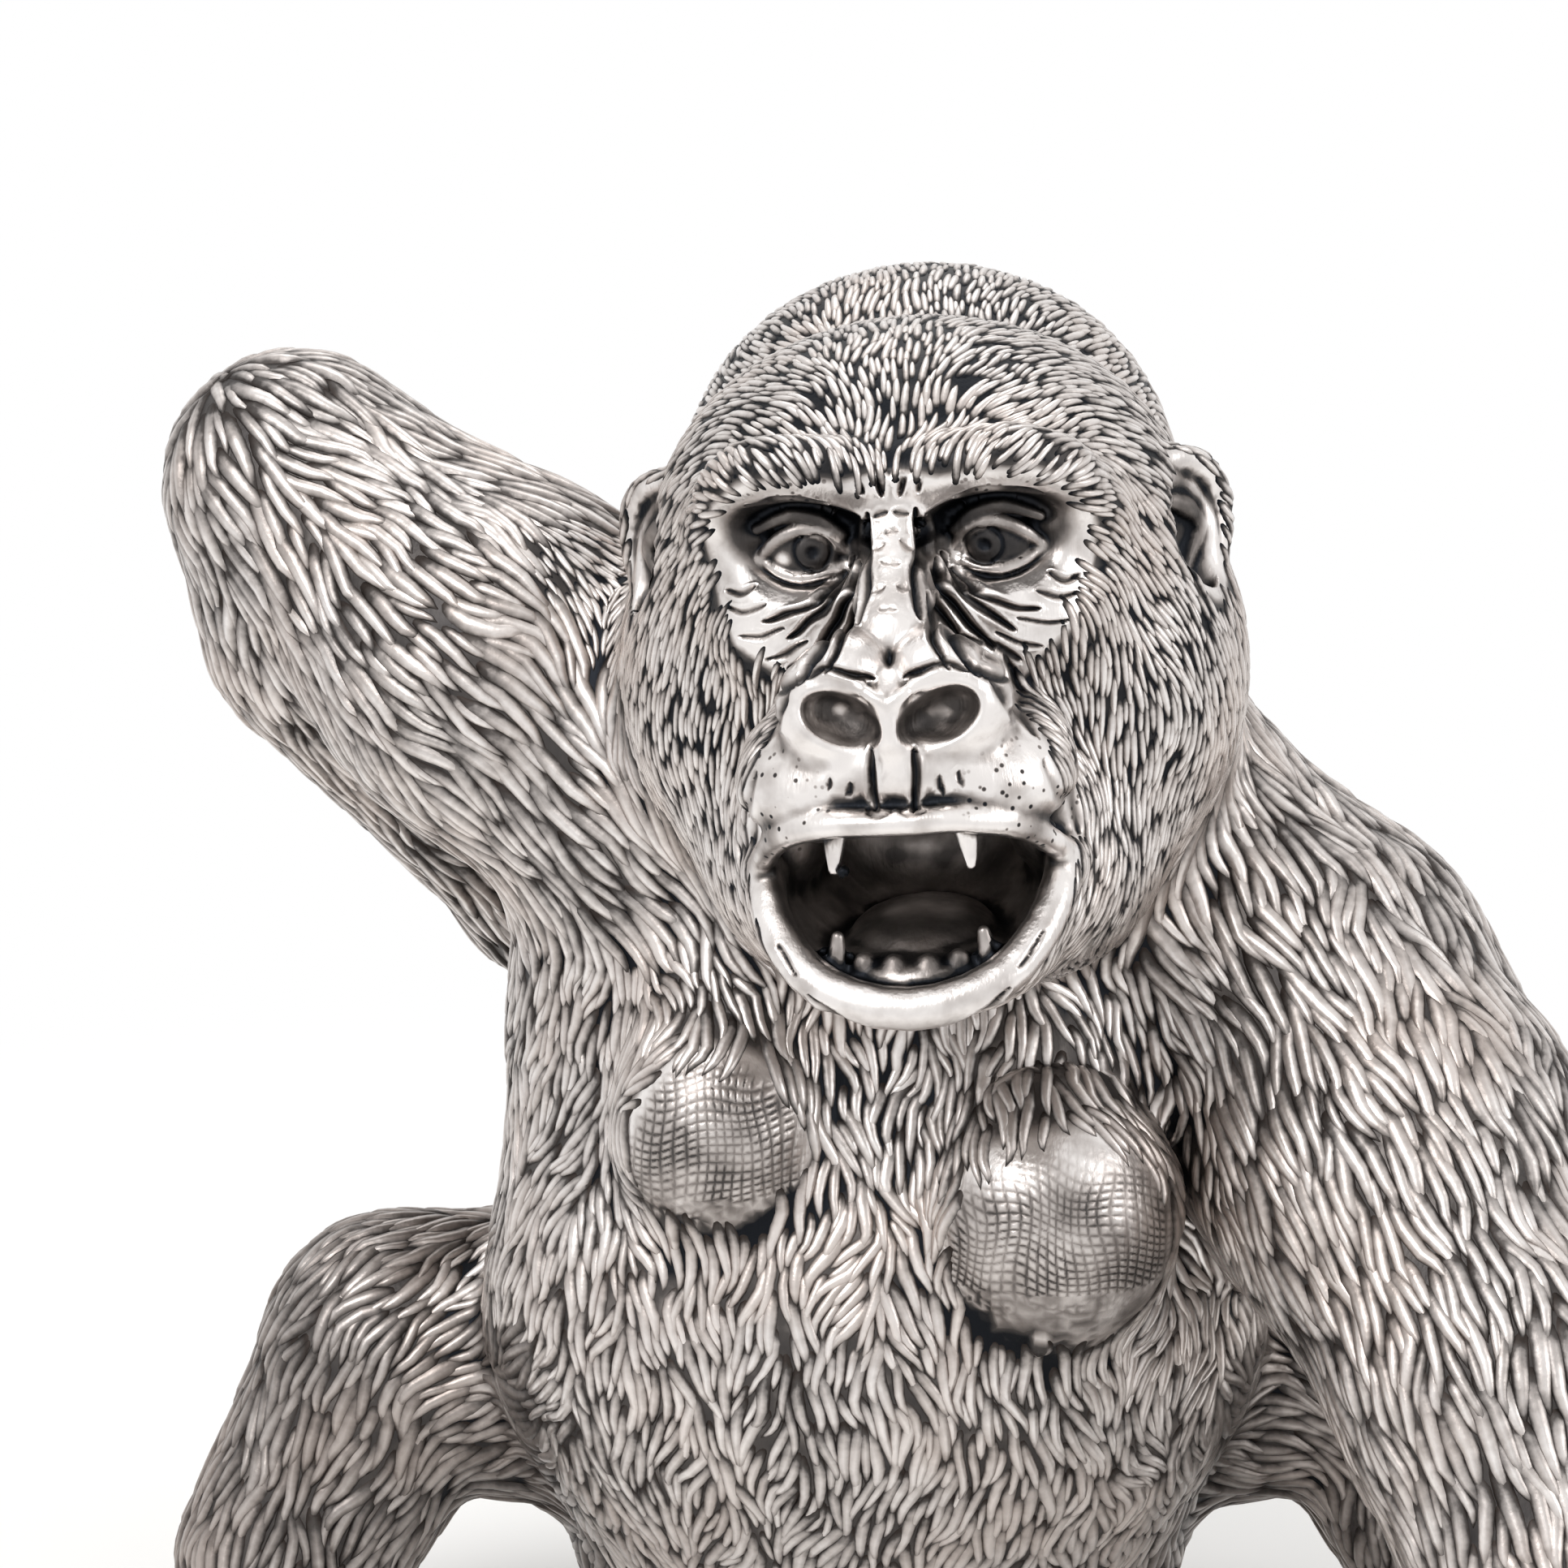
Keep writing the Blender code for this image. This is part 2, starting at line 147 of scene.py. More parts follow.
# %% Body
raised_elbow, raised_wrist = (-39.0, 6.0, 82.0), (-22.0, 18.5, 52.4)
prop_shoulder, prop_elbow, prop_wrist = (28.4, -10.0, 50.4), (39.5, -28.5, 30.0), (44.5, -41.0, 9.0)
breasts = [
    ball((-10.7, -18.0, 43.4), (6.3, 6.2, 7.5), 2.4, turn=(14, 0, 0)),
    ball((10.7, -21.5, 38.3), (7.7, 6.9, 8.2), 2.4, turn=(14, 0, 0)),
]
BODY = [
    # Seat, haunches, belly, ribs, upper back and chest
    ball((0, 3, 15), (20, 17, 17)),
    ball((11, 6, 12), (10, 12, 13), 4, both=True),
    ball((-0.5, -5, 29), (26, 20, 22), 6),
    ball((-0.5, -1, 47), (24.5, 17.5, 22), 6),
    ball((3, 5, 57), (22, 14, 17), 5),
    ball((3.5, -5, 59), (22, 14, 12), 5),
    # Neck, nape and the shoulder of the propped arm
    limb((3, 1, 66), (3, -9, 74), 16, 17, 4),
    limb((3, 6, 62), (3.5, -4, 80), 15, 14.5, 5),
    limb((12, -4, 65), (26.4, -9, 50.9), 11.5, 11, 4),
    # Breasts, and the slopes that carry them
    *breasts,
    limb((-9.6, -13.0, 52.0), (-10.6, -17.3, 44.8), 5.4, 5.9, 3),
    limb((8.6, -13.6, 50.0), (10.5, -20.5, 40.4), 6.4, 7.0, 3),
    # Raised arm, then the propped one
    limb((-15, -3, 64), (-25.8, 0.05, 71.7), 12, 11.5, 5),
    limb((-25.8, 0.05, 71.7), raised_elbow, 11.5, 8.5, 3),
    cord([raised_elbow, (-36.7, 9.25, 72.3), raised_wrist], (8.5, 9.1, 6.5), 1.4),
    limb(prop_shoulder, (33.4, -17.8, 41.2), 11.5, 12, 5),
    limb((33.4, -17.8, 41.2), prop_elbow, 12, 10.5, 3),
    limb(prop_elbow, prop_wrist, 10.5, 7.5, 3),
    # Teats
    limb((-13.2, -20.4, 39.8), (-13.7, -21.2, 38.4), 0.9, 0.6, 0.5),
    limb((9.9, -24.8, 32.7), (9.7, -25.7, 31.1), 0.9, 0.6, 0.5),
    # Thighs, shins and feet
    limb((17, 6, 21.5), (32.8, 5, 22.4), 11, 8.8, 2.5, both=True),
    limb((32.8, 5, 22.4), (40.5, 3, 8), 8.8, 7.6, 2.0, both=True),
    limb((40, 7, 3.5), (44, -10, 2.5), 5.0, 4.2, 2.5, both=True),
]
print("body lumps:", len(BODY))

# %% Hands and feet
def hand(wrist, palm, reach, spread, curl, width=6.0):
    reach, spread, curl = Vector(reach).normalized(), Vector(spread).normalized(), Vector(curl).normalized()
    palm = Vector(palm)
    lumps = [limb(wrist, palm, 6.5, 5.2, 3)]
    for place, length in ((-1.5, 7.5), (-0.5, 9.0), (0.5, 9.0), (1.5, 7.8)):
        knuckle = palm + spread * place * width / 2 + reach * 3.2
        middle = knuckle + reach * length * 0.55 - curl * 0.6
        lumps.append(cord([knuckle, middle, knuckle + reach * length + curl * 1.6], (2.3, 2.1, 1.7), 0.7))
    thumb = palm - spread * width * 0.8 - reach
    return lumps + [limb(thumb, thumb - spread * 2.6 + reach * 4.0 + curl * 0.8, 2.4, 1.7, 0.8)]


def toes():
    lumps = [limb((39.5, -7.0, 2.1), (37.1, -12.0, 1.5), 2.6, 2.0, 0.8, both=True)]
    for n, length in enumerate((5.0, 6.0, 6.0, 5.2)):
        x, y = 48.2 - 2.6 * n, -12.0 - abs(n - 1.5) * 0.2
        lumps.append(limb((x, y, 1.9), (x + 0.7 - 0.2 * n, y - length, 1.3), 2.2, 1.8, 0.6, both=True))
    return lumps


BODY += hand(raised_wrist, (-13, 21, 49), (0.9, 0.1, -0.45), (0.45, 0.1, 0.9), (0, -1, 0))
BODY += hand(prop_wrist, (47.5, -46.5, 4.0), (-0.1, -1, -0.1), (1, -0.1, 0), (0, 0, -1))
BODY += toes()
print("with hands and feet:", len(BODY))

# %% [markdown]
# The head is modelled in its own frame, whose origin is midway between the eyes: x to the figure's left,
# y backwards and z up. It is turned and tilted as a whole afterwards, which keeps both sides of the face
# alike, as the real head's are.

# %% Head
head_turn = Euler((0, math.radians(-4), math.radians(-6.9)))
head_place = Matrix.Translation((0.5, -31.0, 84.9)) @ head_turn.to_matrix().to_4x4()
head_axes = np.array(head_place.to_3x3(), np.float32)
head_origin = np.array(head_place.translation, np.float32)


def to_head(points):
    return (points - head_origin) @ head_axes


def from_head(points):
    return points @ head_axes.T + head_origin


mouth_centre = (0, -5.5, -17.2)
SKULL = [
    ball((0, 12.5, -1.4), (16.8, 15.5, 13.2)),
    ball((-1.0, 26.5, 0.2), (15.4, 14, 13.1), 1.2),
    ball((9.3, 15, -11), (10.6, 13.5, 14), 3, both=True),
    ball((0, 7, -6), (13, 9.5, 11), 3),
    ball((5.0, 9, -21), (9.6, 12, 9), 3, both=True),
    ball((0, 0, -22.6), (10.4, 10.8, 6.5), 3),
    ball((0, -4.2, -25.4), (7.8, 6.6, 3.7), 1.5),
    ball(mouth_centre, (9.1, 15, 9.8), 0.8, cut=True),
]
upper_lip = [
    (-4.2, -11.2, -15.5), (0, -11.7, -15.4), (4.2, -11.2, -15.5),
    (7.4, -8.8, -16.6), (9.2, -4.8, -18.8), (9.6, -1.0, -20.2),
]
lower_lip = [
    (9.4, -1.0, -20.4), (9.2, -4.6, -20.6), (8.2, -7.4, -23.2),
    (5.2, -10.0, -26.0), (0, -11.0, -27.2), (-5.2, -10.0, -26.0),
]
brow = [
    (0, -1.5, 3.4), (3.4, -2.4, 4.3), (7.0, -2.4, 4.8),
    (10.3, -0.6, 3.7), (11.7, 2.2, 0.8), (11.2, 3.6, -2.4),
]
MUZZLE = [
    # Base of the brow, muzzle, halves of the upper lip and corners of the mouth
    fold([(x, y + 0.4, z + 0.5) for x, y, z in brow[:5]], (1.3, 1.6, 1.8, 1.6, 1.2), 3.0, both=True),
    ball((0, -2.6, -12.6), (9.8, 9.0, 4.6), 1.5),
    ball((5.2, -5.0, -14.2), (5.1, 5.7, 3.4), 1.8, both=True),
    ball((8.2, 1.0, -17.5), (3.0, 4.0, 4.0), 1.5, both=True),
    # Rims of the lips and of the brow
    fold(upper_lip, (0.8, 0.8, 0.8, 0.8, 0.8, 0.8), 1.0, both=True),
    fold(lower_lip, (0.9, 1.0, 1.1, 1.25, 1.3, 1.25), 1.2, both=True),
    fold(brow, (0.9, 1.2, 1.3, 1.2, 1.1, 0.9), 0.9, both=True),
    # Nose: its bridge, wings, hood and middle wall
    limb((0, -0.4, 1.5), (0, -6.2, -5.0), 1.9, 2.8, 1.5),
    ball((3.6, -8.3, -8.8), (3.7, 3.4, 3.7), 1.0, both=True),
    ball((2.6, -8.5, -6.1), (2.5, 2.9, 2.1), 0.5, both=True),
    ball((0, -10.0, -9.4), (1.6, 2.4, 3.2), 0.8),
    # Cheekbones, ears, tongue and the floor of the mouth
    ball((7.4, 1.4, -5.6), (4.6, 3.2, 3.6), 1.5, both=True),
    ball((15.5, 12.2, -2.8), (1.9, 4.6, 5.0), 0.8, turn=(0, 0, -38), both=True),
    ball((0, -1.0, -24.4), (4.4, 6.5, 1.8), 0.6),
    ball((0, -2.5, -25.6), (6.4, 7.6, 1.8), 0.6),
]
HOLLOWS = [  # sockets, lower and upper part, the nose's groove, nostrils and ears
    ball((6.6, -2.8, -0.5), (4.8, 4.0, 2.7), 0.8, cut=True, both=True),
    ball((6.3, -2.6, 0.9), (4.9, 3.9, 2.1), 0.3, cut=True, both=True),
    ball((0, -12.4, -4.8), (0.75, 2.2, 2.1), 0.4, cut=True),
    ball((3.1, -12.0, -9.0), (2.7, 2.8, 1.7), 0.5, turn=(0, -24, 0), cut=True, both=True),
    ball((17.2, 10.5, -2.6), (1.7, 3.3, 3.8), 0.4, turn=(0, 0, -38), cut=True, both=True),
]
print("head lumps:", len(SKULL) + len(MUZZLE) + len(HOLLOWS))

# %% [markdown]
# Each eye lies deep under the brow: a round ball, a thick upper lid with a fold above it, and a thinner
# lower lid with a bag below. The ear is a cup with a rolled rim and one fold inside.

# %% Lids and ears
upper_lid = [(3.0, 0.4, -1.0), (4.4, -0.5, 0.5), (6.0, -0.6, 0.95), (7.6, -0.25, 0.3), (8.8, 0.8, -0.9)]
lower_lid = [(3.0, 0.4, -1.2), (4.6, -0.4, -1.8), (6.2, -0.5, -2.05), (7.6, 0.0, -1.7), (8.8, 0.8, -1.0)]
lid_fold = [(3.4, -0.3, 0.5), (4.8, -0.6, 1.6), (6.6, -0.6, 1.9), (8.8, 0.1, 1.0)]
bag = [(3.6, -0.9, -2.7), (5.4, -1.2, -3.2), (7.4, -0.7, -3.0), (9.2, 0.5, -2.1)]
nostril_hood = [(0, -12.1, -8.2), (0.8, -11.9, -7.6), (2.2, -11.1, -6.9), (4.2, -10.2, -6.8), (5.9, -8.9, -8.2)]
ear_rim = [(13.1, 9.3, -1.6), (13.6, 9.4, 1.5), (15.7, 11.3, 2.4), (17.8, 13.8, 1.3), (18.8, 14.9, -1.6),
           (18.0, 14.0, -5.0), (15.8, 11.8, -7.4), (14.6, 10.4, -6.2)]
ear_fold = [(14.9, 9.9, 0.2), (16.6, 11.6, -0.6), (17.5, 13.0, -2.2), (16.4, 11.9, -5.2)]
FINE = [
    ball((5.75, 2.2, -0.5), (3.0, 3.1, 2.6), 0.3, both=True),
    fold(upper_lid, (0.30, 0.40, 0.44, 0.40, 0.30), 0.3, both=True),
    fold(lower_lid, (0.28, 0.34, 0.38, 0.34, 0.28), 0.3, both=True),
    fold(lid_fold, (0.25, 0.38, 0.42, 0.30), 0.5, both=True),
    fold(bag, (0.25, 0.40, 0.40, 0.25), 0.5, both=True),
    fold(nostril_hood, (0.30, 0.38, 0.42, 0.40, 0.30), 0.5, both=True),
    fold(ear_rim, (0.6, 0.85, 0.75, 0.95, 0.8, 0.75, 1.0, 0.7), 0.4, both=True),
    fold(ear_fold, (0.45, 0.55, 0.5, 0.4), 0.4, both=True),
    ball((13.9, 8.9, -3.6), (0.8, 0.9, 1.2), 0.5, both=True),
]
TEETH = [
    limb((4.0, -9.8, -16.0), (4.2, -10.0, -18.5), 0.85, 0.32, 0.3, both=True),
    limb((4.8, -7.8, -25.4), (4.5, -8.0, -23.2), 0.9, 0.42, 0.3, both=True),
    ball((1.05, -8.8, -25.2), (0.8, 0.8, 1.0), 0.3, both=True),
    ball((2.9, -8.3, -25.0), (0.75, 0.75, 0.9), 0.3, both=True),
]
print("fine lumps:", len(FINE))


def clay(points):
    """Distance of each point in millimetres from the whole figure's skin."""
    head = blended(SKULL + MUZZLE + TEETH + HOLLOWS + FINE, to_head(points))
    body = blended(BODY, points)
    mix = np.clip(0.5 + 0.5 * (body - head) / 4.0, 0, 1)
    both = body + (head - body) * mix - 4.0 * mix * (1 - mix)
    return np.maximum(both, -points[:, 2])


# %% [markdown]
# The skin starts as a copy of the solid. A voxel remesh turns its loose triangles into an even net, the
# face, ears and breasts are divided twice more, and the finest wrinkles and the hatching a third time.
# Every point is then drawn onto the field above. Points deep in a fold are first eased outwards, so that
# the net doesn't double over there. The net is thinned again at the end, where it is flat.

# %% Regions of the head
bare_outline = np.array([
    (0, 4.6), (3, 4.2), (6.4, 4.7), (9.2, 4.3), (11.2, 2.8), (12.0, 0.4), (11.6, -2.8), (10.4, -5.8),
    (8.2, -7.4), (7.2, -9.0), (8.5, -10.8), (9.6, -13.0), (10.4, -15.6), (10.7, -18.0), (10.2, -21.4),
    (8.8, -24.6), (6.3, -27.2),
    (3.1, -28.6), (0, -29.0),
])


def inside_outline(x, z):
    """How many millimetres the points lie inside the bare face's outline, seen from the front."""
    x = np.abs(x)
    inside = np.zeros(len(x), bool)
    nearest = np.full(len(x), 99.0)
    for (x0, z0), (x1, z1) in zip(bare_outline, np.roll(bare_outline, -1, axis=0)):
        crosses = (z0 > z) != (z1 > z)
        inside ^= crosses & (x < (x1 - x0) * (z - z0) / (z1 - z0 + 1e-9) + x0)
        if x0 == 0 and x1 == 0:
            continue
        along = np.array((x1 - x0, z1 - z0))
        share = np.clip(((x - x0) * along[0] + (z - z0) * along[1]) / (along @ along), 0, 1)
        nearest = np.minimum(nearest, np.hypot(x - x0 - share * along[0], z - z0 - share * along[1]))
    return np.where(inside, nearest, -nearest)


def face_depth(points):
    """Above zero on the bare face and in the mouth."""
    local = to_head(points)
    behind_lips = (np.abs(local[:, 0]) < 9) & (local[:, 2] > -27) & (local[:, 2] < -9)
    front = np.clip((np.where(behind_lips, 11.0, 7.0) - local[:, 1]) * 2, -9, 9)
    return np.minimum(inside_outline(local[:, 0], local[:, 2]), front)


def wrinkled(points):
    """Where the finest net is: from the brow to the nose."""
    local = to_head(points)
    return (face_depth(points) > 0) & (local[:, 1] < 4) & (np.abs(local[:, 2] + 1.9) < 5.8)


def ear_depth(points):
    local = to_head(points)
    local[:, 0] = np.abs(local[:, 0])
    near = np.linalg.norm((local - (16.2, 11.7, -2.5)) / (4.0, 3.9, 5.6), axis=1)
    return (1 - near) * 4


def chest_depth(points):
    """Above zero on the two bare breasts, but not on the belly that they lie on."""
    left = np.linalg.norm((points - (-10.9, -22.4, 42.6)) / (6.1, 6.4, 7.6), axis=1)
    right = np.linalg.norm((points - (11.2, -26.2, 37.6)) / (8.0, 6.6, 8.6), axis=1)
    near = np.minimum(*(distance(points) for distance, *_ in breasts))
    underside = points[:, 2] < np.where(points[:, 0] < 0, 40.5, 35.5)
    return np.minimum((1 - np.minimum(left, right)) * 6, (np.where(underside, 0.35, 0.7) - near) * 3)


def bareness(points, margin=0.0):
    """1 on bare skin, 0 on hair, changing softly over half a millimetre."""
    depth = np.maximum(np.maximum(face_depth(points), ear_depth(points)), chest_depth(points))
    return np.clip((depth + margin) / 0.6 + 0.5, 0, 1)


print("bare outline points:", len(bare_outline))


# %% Net of the skin
def points_of(mesh, name="co"):
    out = np.empty(len(mesh.vertices) * 3, np.float32)
    if name == "co":
        mesh.vertices.foreach_get("co", out)
    else:
        mesh.vertex_normals.foreach_get("vector", out)
    return out.reshape(-1, 3)


def settle(piece):
    """Applies a piece's modifiers."""
    bpy.context.view_layer.update()
    graph = bpy.context.evaluated_depsgraph_get()
    piece.data = bpy.data.meshes.new_from_object(piece.evaluated_get(graph))
    piece.modifiers.clear()
    return piece


def new_piece(name, bm):
    mesh = bpy.data.meshes.new(name)
    bm.to_mesh(mesh)
    bm.free()
    piece = bpy.data.objects.new(name, mesh)
    bpy.context.scene.collection.objects.link(piece)
    return piece


bm = bmesh.new()
bm.from_mesh(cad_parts["gorilla"].data)
bmesh.ops.remove_doubles(bm, verts=bm.verts, dist=1e-6)
bmesh.ops.scale(bm, vec=(1000, 1000, 1000), verts=bm.verts)
skin = new_piece("skin", bm)
net = skin.modifiers.new("net", "REMESH")
net.mode = "VOXEL"
net.voxel_size = 0.8
settle(skin)
under_coat = skin.vertex_groups.new(name="under the coat")
for vertex, share in enumerate(1 - bareness(points_of(skin.data), 3.0)):
    under_coat.add([vertex], float(share), "REPLACE")
fewer = skin.modifiers.new("fewer faces", "DECIMATE")
fewer.ratio, fewer.vertex_group = 0.62, "under the coat"
settle(skin)
skin.vertex_groups.clear()
bm = bmesh.new()
bm.from_mesh(skin.data)
for level, grow in enumerate((1.2, 0.2, 0.0)):
    place = np.array([v.co for v in bm.verts], np.float32)
    chosen = (face_depth(place) > -grow) | (ear_depth(place) > -grow * 0.5) | (chest_depth(place) > -grow)
    if level == 2:
        chosen = wrinkled(place) | (chest_depth(place) > 0)
    edges = [e for e in bm.edges if chosen[e.verts[0].index] and chosen[e.verts[1].index]]
    bmesh.ops.subdivide_edges(bm, edges=edges, cuts=1, use_grid_fill=True)
    bm.verts.index_update()
bmesh.ops.triangulate(bm, faces=[f for f in bm.faces if len(f.verts) > 4])
bm.to_mesh(skin.data)
bm.free()
print("skin points:", len(skin.data.vertices), "faces:", len(skin.data.polygons))


# %% Draw the skin onto the clay
class Net:
    """The links of a mesh, for easing values or places towards their neighbours'."""

    def __init__(self, mesh):
        ends = np.empty(len(mesh.edges) * 2, np.int32)
        mesh.edges.foreach_get("vertices", ends)
        ends = ends.reshape(-1, 2)
        self.both = np.concatenate([ends, ends[:, ::-1]])
        self.count = len(mesh.vertices)
        self.links = np.maximum(np.bincount(self.both[:, 0], minlength=self.count), 1)

    def mean(self, values):
        columns = values.reshape(self.count, -1).T
        made = [np.bincount(self.both[:, 0], c[self.both[:, 1]], self.count) / self.links for c in columns]
        return np.stack(made, 1).reshape(values.shape).astype(np.float32)


def place_points(mesh, place):
    mesh.vertices.foreach_set("co", place.astype(np.float32).ravel())
    mesh.update()


links = Net(skin.data)
place = points_of(skin.data)
for turn in range(4):
    deep = np.clip((-clay(place) - 0.1) / 0.3, 0, 1)[:, None]
    for again in range(4):
        place = place + (links.mean(place) - place) * 0.7 * deep
for turn in range(6):
    place_points(skin.data, place)
    normal = points_of(skin.data, "normal")
    place = place - normal * np.clip(clay(place), -0.6, 0.6)[:, None]
    if turn < 4:
        ease = (links.mean(place) - place) * 0.5
        place = place + ease - normal * np.sum(ease * normal, axis=1)[:, None]
off = np.abs(clay(place)) > 0.06
for turn in range(3):
    off |= links.mean(off.astype(np.float32)) > 0.3
    for again in range(6):
        place = np.where(off[:, None], links.mean(place), place)
    place_points(skin.data, place)
    normal = points_of(skin.data, "normal")
    place = place - normal * (np.clip(clay(place), -0.3, 0.3) * off)[:, None]
place[:, 2] = np.maximum(place[:, 2], 0)
place_points(skin.data, place)
print("skin lies within", round(float(np.percentile(np.abs(clay(place)), 98)), 3), "mm of the clay")

# %% [markdown]
# The chaser's punches and gravers drew the wrinkles of the face after casting: two or three upright
# furrows between the brows, short cuts over the bridge of the nose, a fan of lines from the inner
# corner of each eye, and the groove under the nose. Each is a line in the head's front view with a
# width and a depth in millimetres, and it pushes the points near it inwards. The metal it displaces
# stands up beside it as a low bright rim. What a line pushes in is also kept as a value for the finish.

# %% Wrinkles of the face
WRINKLES = [
    (((0.55, 3.2), (0.75, 4.6), (1.1, 5.9)), 0.30, 0.45),
    (((1.7, 3.4), (2.0, 4.7), (2.6, 5.8)), 0.28, 0.35),
    (((1.5, 2.2), (1.7, 0.2), (1.5, -1.8), (1.9, -3.6)), 0.34, 0.45),
    (((2.3, -1.2), (3.0, -3.0), (4.4, -5.2), (5.6, -6.8)), 0.34, 0.50),
    (((2.7, -0.9), (3.8, -2.6), (5.6, -4.5), (7.0, -5.6)), 0.28, 0.40),
    (((3.3, -1.6), (4.8, -3.1), (7.0, -4.1), (8.6, -4.4)), 0.26, 0.38),
    (((2.2, -2.6), (2.8, -4.4), (3.8, -6.2)), 0.30, 0.45),
    (((3.4, -2.4), (4.6, -3.8), (6.0, -5.0)), 0.22, 0.28),
    (((4.8, -5.9), (6.2, -7.0), (7.2, -7.6)), 0.30, 0.35),
    (((5.8, -5.7), (7.4, -6.6), (8.6, -6.9)), 0.24, 0.25),
    (((7.2, -4.9), (8.8, -5.4), (10.2, -5.3)), 0.22, 0.22),
    (((8.4, -3.4), (9.8, -3.9), (10.9, -3.8)), 0.22, 0.22),
    (((9.2, -2.4), (10.2, -2.9), (11.0, -2.8)), 0.22, 0.25), (((0.2, 2.3), (1.1, 2.0)), 0.24, 0.18),
    (((0.0, 1.2), (0.4, 1.1)), 0.26, 0.10), (((0.5, 0.6), (1.2, 0.1)), 0.22, 0.14),
    (((0.0, -0.6), (0.6, -0.5)), 0.24, 0.12), (((0.4, -1.7), (1.1, -2.1)), 0.22, 0.12),
    (((0.0, -2.9), (0.5, -3.0)), 0.24, 0.08), (((1.35, -10.9), (1.4, -12.6), (1.2, -14.6)), 0.30, 0.50),
    (((2.7, -12.8), (2.8, -13.8)), 0.26, 0.28), (((3.9, -12.6), (4.0, -13.4)), 0.24, 0.22),
    (((0.2, -14.6), (0.9, -14.8), (1.8, -14.7)), 0.20, 0.15),
    (((0.9, -6.6), (2.2, -6.1), (3.8, -5.9), (5.0, -6.4)), 0.30, 0.35),
    (((6.2, -7.2), (7.2, -9.2), (8.4, -11.2)), 0.36, 0.30),
    (((8.8, -12.6), (9.8, -15.4), (10.2, -18.4)), 0.36, 0.15),
    (((3.9, 3.0), (6.4, 3.4), (9.2, 2.7)), 0.22, 0.22), (((5.0, 5.9), (5.3, 6.6)), 0.24, 0.30),
    (((2.4, -28.3), (4.4, -27.6), (6.3, -26.2)), 0.26, 0.25), (((6.9, -25.0), (8.2, -23.2)), 0.22, 0.20),
]


def nearness(x, z, path):
    """Distance of the points from a line on the head's front view, stretched where the line tapers off."""
    line = [(a, 0, b) for a, b in path]
    line = bent(line, 4) if len(line) > 2 else line
    nearest = np.full(len(x), 99.0)
    for n, ((x0, _, z0), (x1, _, z1)) in enumerate(zip(line, line[1:])):
        along = np.array((x1 - x0, z1 - z0))
        share = np.clip(((x - x0) * along[0] + (z - z0) * along[1]) / (along @ along), 0, 1)
        taper = 0.35 + 0.65 * np.sqrt(np.sin(math.pi * np.clip((n + share) / (len(line) - 1), 0.001, 0.999)))
        nearest = np.minimum(nearest, np.hypot(x - x0 - share * along[0], z - z0 - share * along[1]) / taper)
    return nearest


def waves(points, length, seed, octaves=5):
    """A smooth, repeatable unevenness between about -1 and 1, with humps of the given length."""
    rng = np.random.default_rng(seed)
    total = np.zeros(len(points), np.float32)
    for k in range(octaves):
        direction = rng.normal(size=3)
        direction *= 2 * math.pi / length / np.linalg.norm(direction) * rng.uniform(0.6, 1.4)
        total += np.sin(points @ direction.astype(np.float32) + rng.uniform(0, 6.28))
    return total / math.sqrt(octaves)


local = to_head(place)
in_front = np.clip(face_depth(place) / 0.4, 0, 1) * (local[:, 1] < 4.5)
wobble = waves(place, 3.0, 4) * 0.08
x, z = np.abs(local[:, 0] + wobble), local[:, 2] + waves(place, 2.5, 9) * 0.08
groove = np.zeros(len(place), np.float32)
raised = np.zeros(len(place), np.float32)
for path, width, depth in WRINKLES:
    near = nearness(x, z, path) / width / 0.9
    groove = np.maximum(groove, np.exp(-near**2 * 1.6) * depth)
    raised = np.maximum(raised, np.exp(-(near - 1.7) ** 2 * 3) * depth * 0.22)
iris = np.hypot(x - 5.35, z + 0.45)
pupil = np.exp(-(iris / 0.42) ** 4) * 0.22 + np.exp(-((iris - 1.18) / 0.13) ** 2) * 0.16
eye = in_front * (z < 0.7) * (z > -1.7) * (np.abs(x - 5.6) < 2.4)
groove = np.maximum(groove * (1 - eye), pupil * eye)
shallow = 0.016 * waves(place, 2.2, 21) + 0.008 * waves(place, 1.0, 22)
depth_of = (groove - raised * (1 - eye)) * in_front - shallow * in_front * (1 - eye)
dents = 0.10 * waves(place, 2.6, 41) * np.clip(ear_depth(place), 0, 1)
place = place - points_of(skin.data, "normal") * (depth_of + dents)[:, None]

# The breasts are hatched with a graver, in two crossing sets of wavy lines 0.6 mm apart.
hatch_depth, hatch_width = 0.07, 0.13
upright = place[:, 0] + 0.35 * waves(place, 6, 31)
level = place[:, 2] + 0.01 * place[:, 0] ** 2 + 0.35 * waves(place, 6, 32)
pressed = 0.6 + 0.4 * np.clip(waves(place, 4, 33) + 0.5, 0, 1)
hatched = np.zeros(len(place), np.float32)
for across, gap in ((upright, 0.64), (level, 0.58)):
    off = np.abs((across / gap) % 1 - 0.5) * gap
    hatched = np.maximum(hatched, np.exp(-(off / hatch_width) ** 2) * hatch_depth * pressed)
place = place - points_of(skin.data, "normal") * (hatched * np.clip(chest_depth(place) / 0.8, 0, 1))[:, None]
place_points(skin.data, place)
print("wrinkles:", len(WRINKLES), "deepest", round(float((groove * in_front).max()), 2), "mm")

# %% [markdown]
# The coat is some twelve thousand strokes of the chaser's tool, each a low ridge that tapers at both ends
# and sinks into the skin at its root. They lie in the direction in which a gorilla's hair grows: up and
# back from the brow, down the cheeks, down the arms and away from the backbone. A list of guides holds
# these directions, and between them each place takes the mean of the nearest ones. Real strokes are
# modelled here as real ridges and not as bump, so that they still show in the outline and in a print.

# %% Directions of the coat
def combed(way, *places):
    """Guides at several places with one direction."""
    return [(place, way) for place in places]


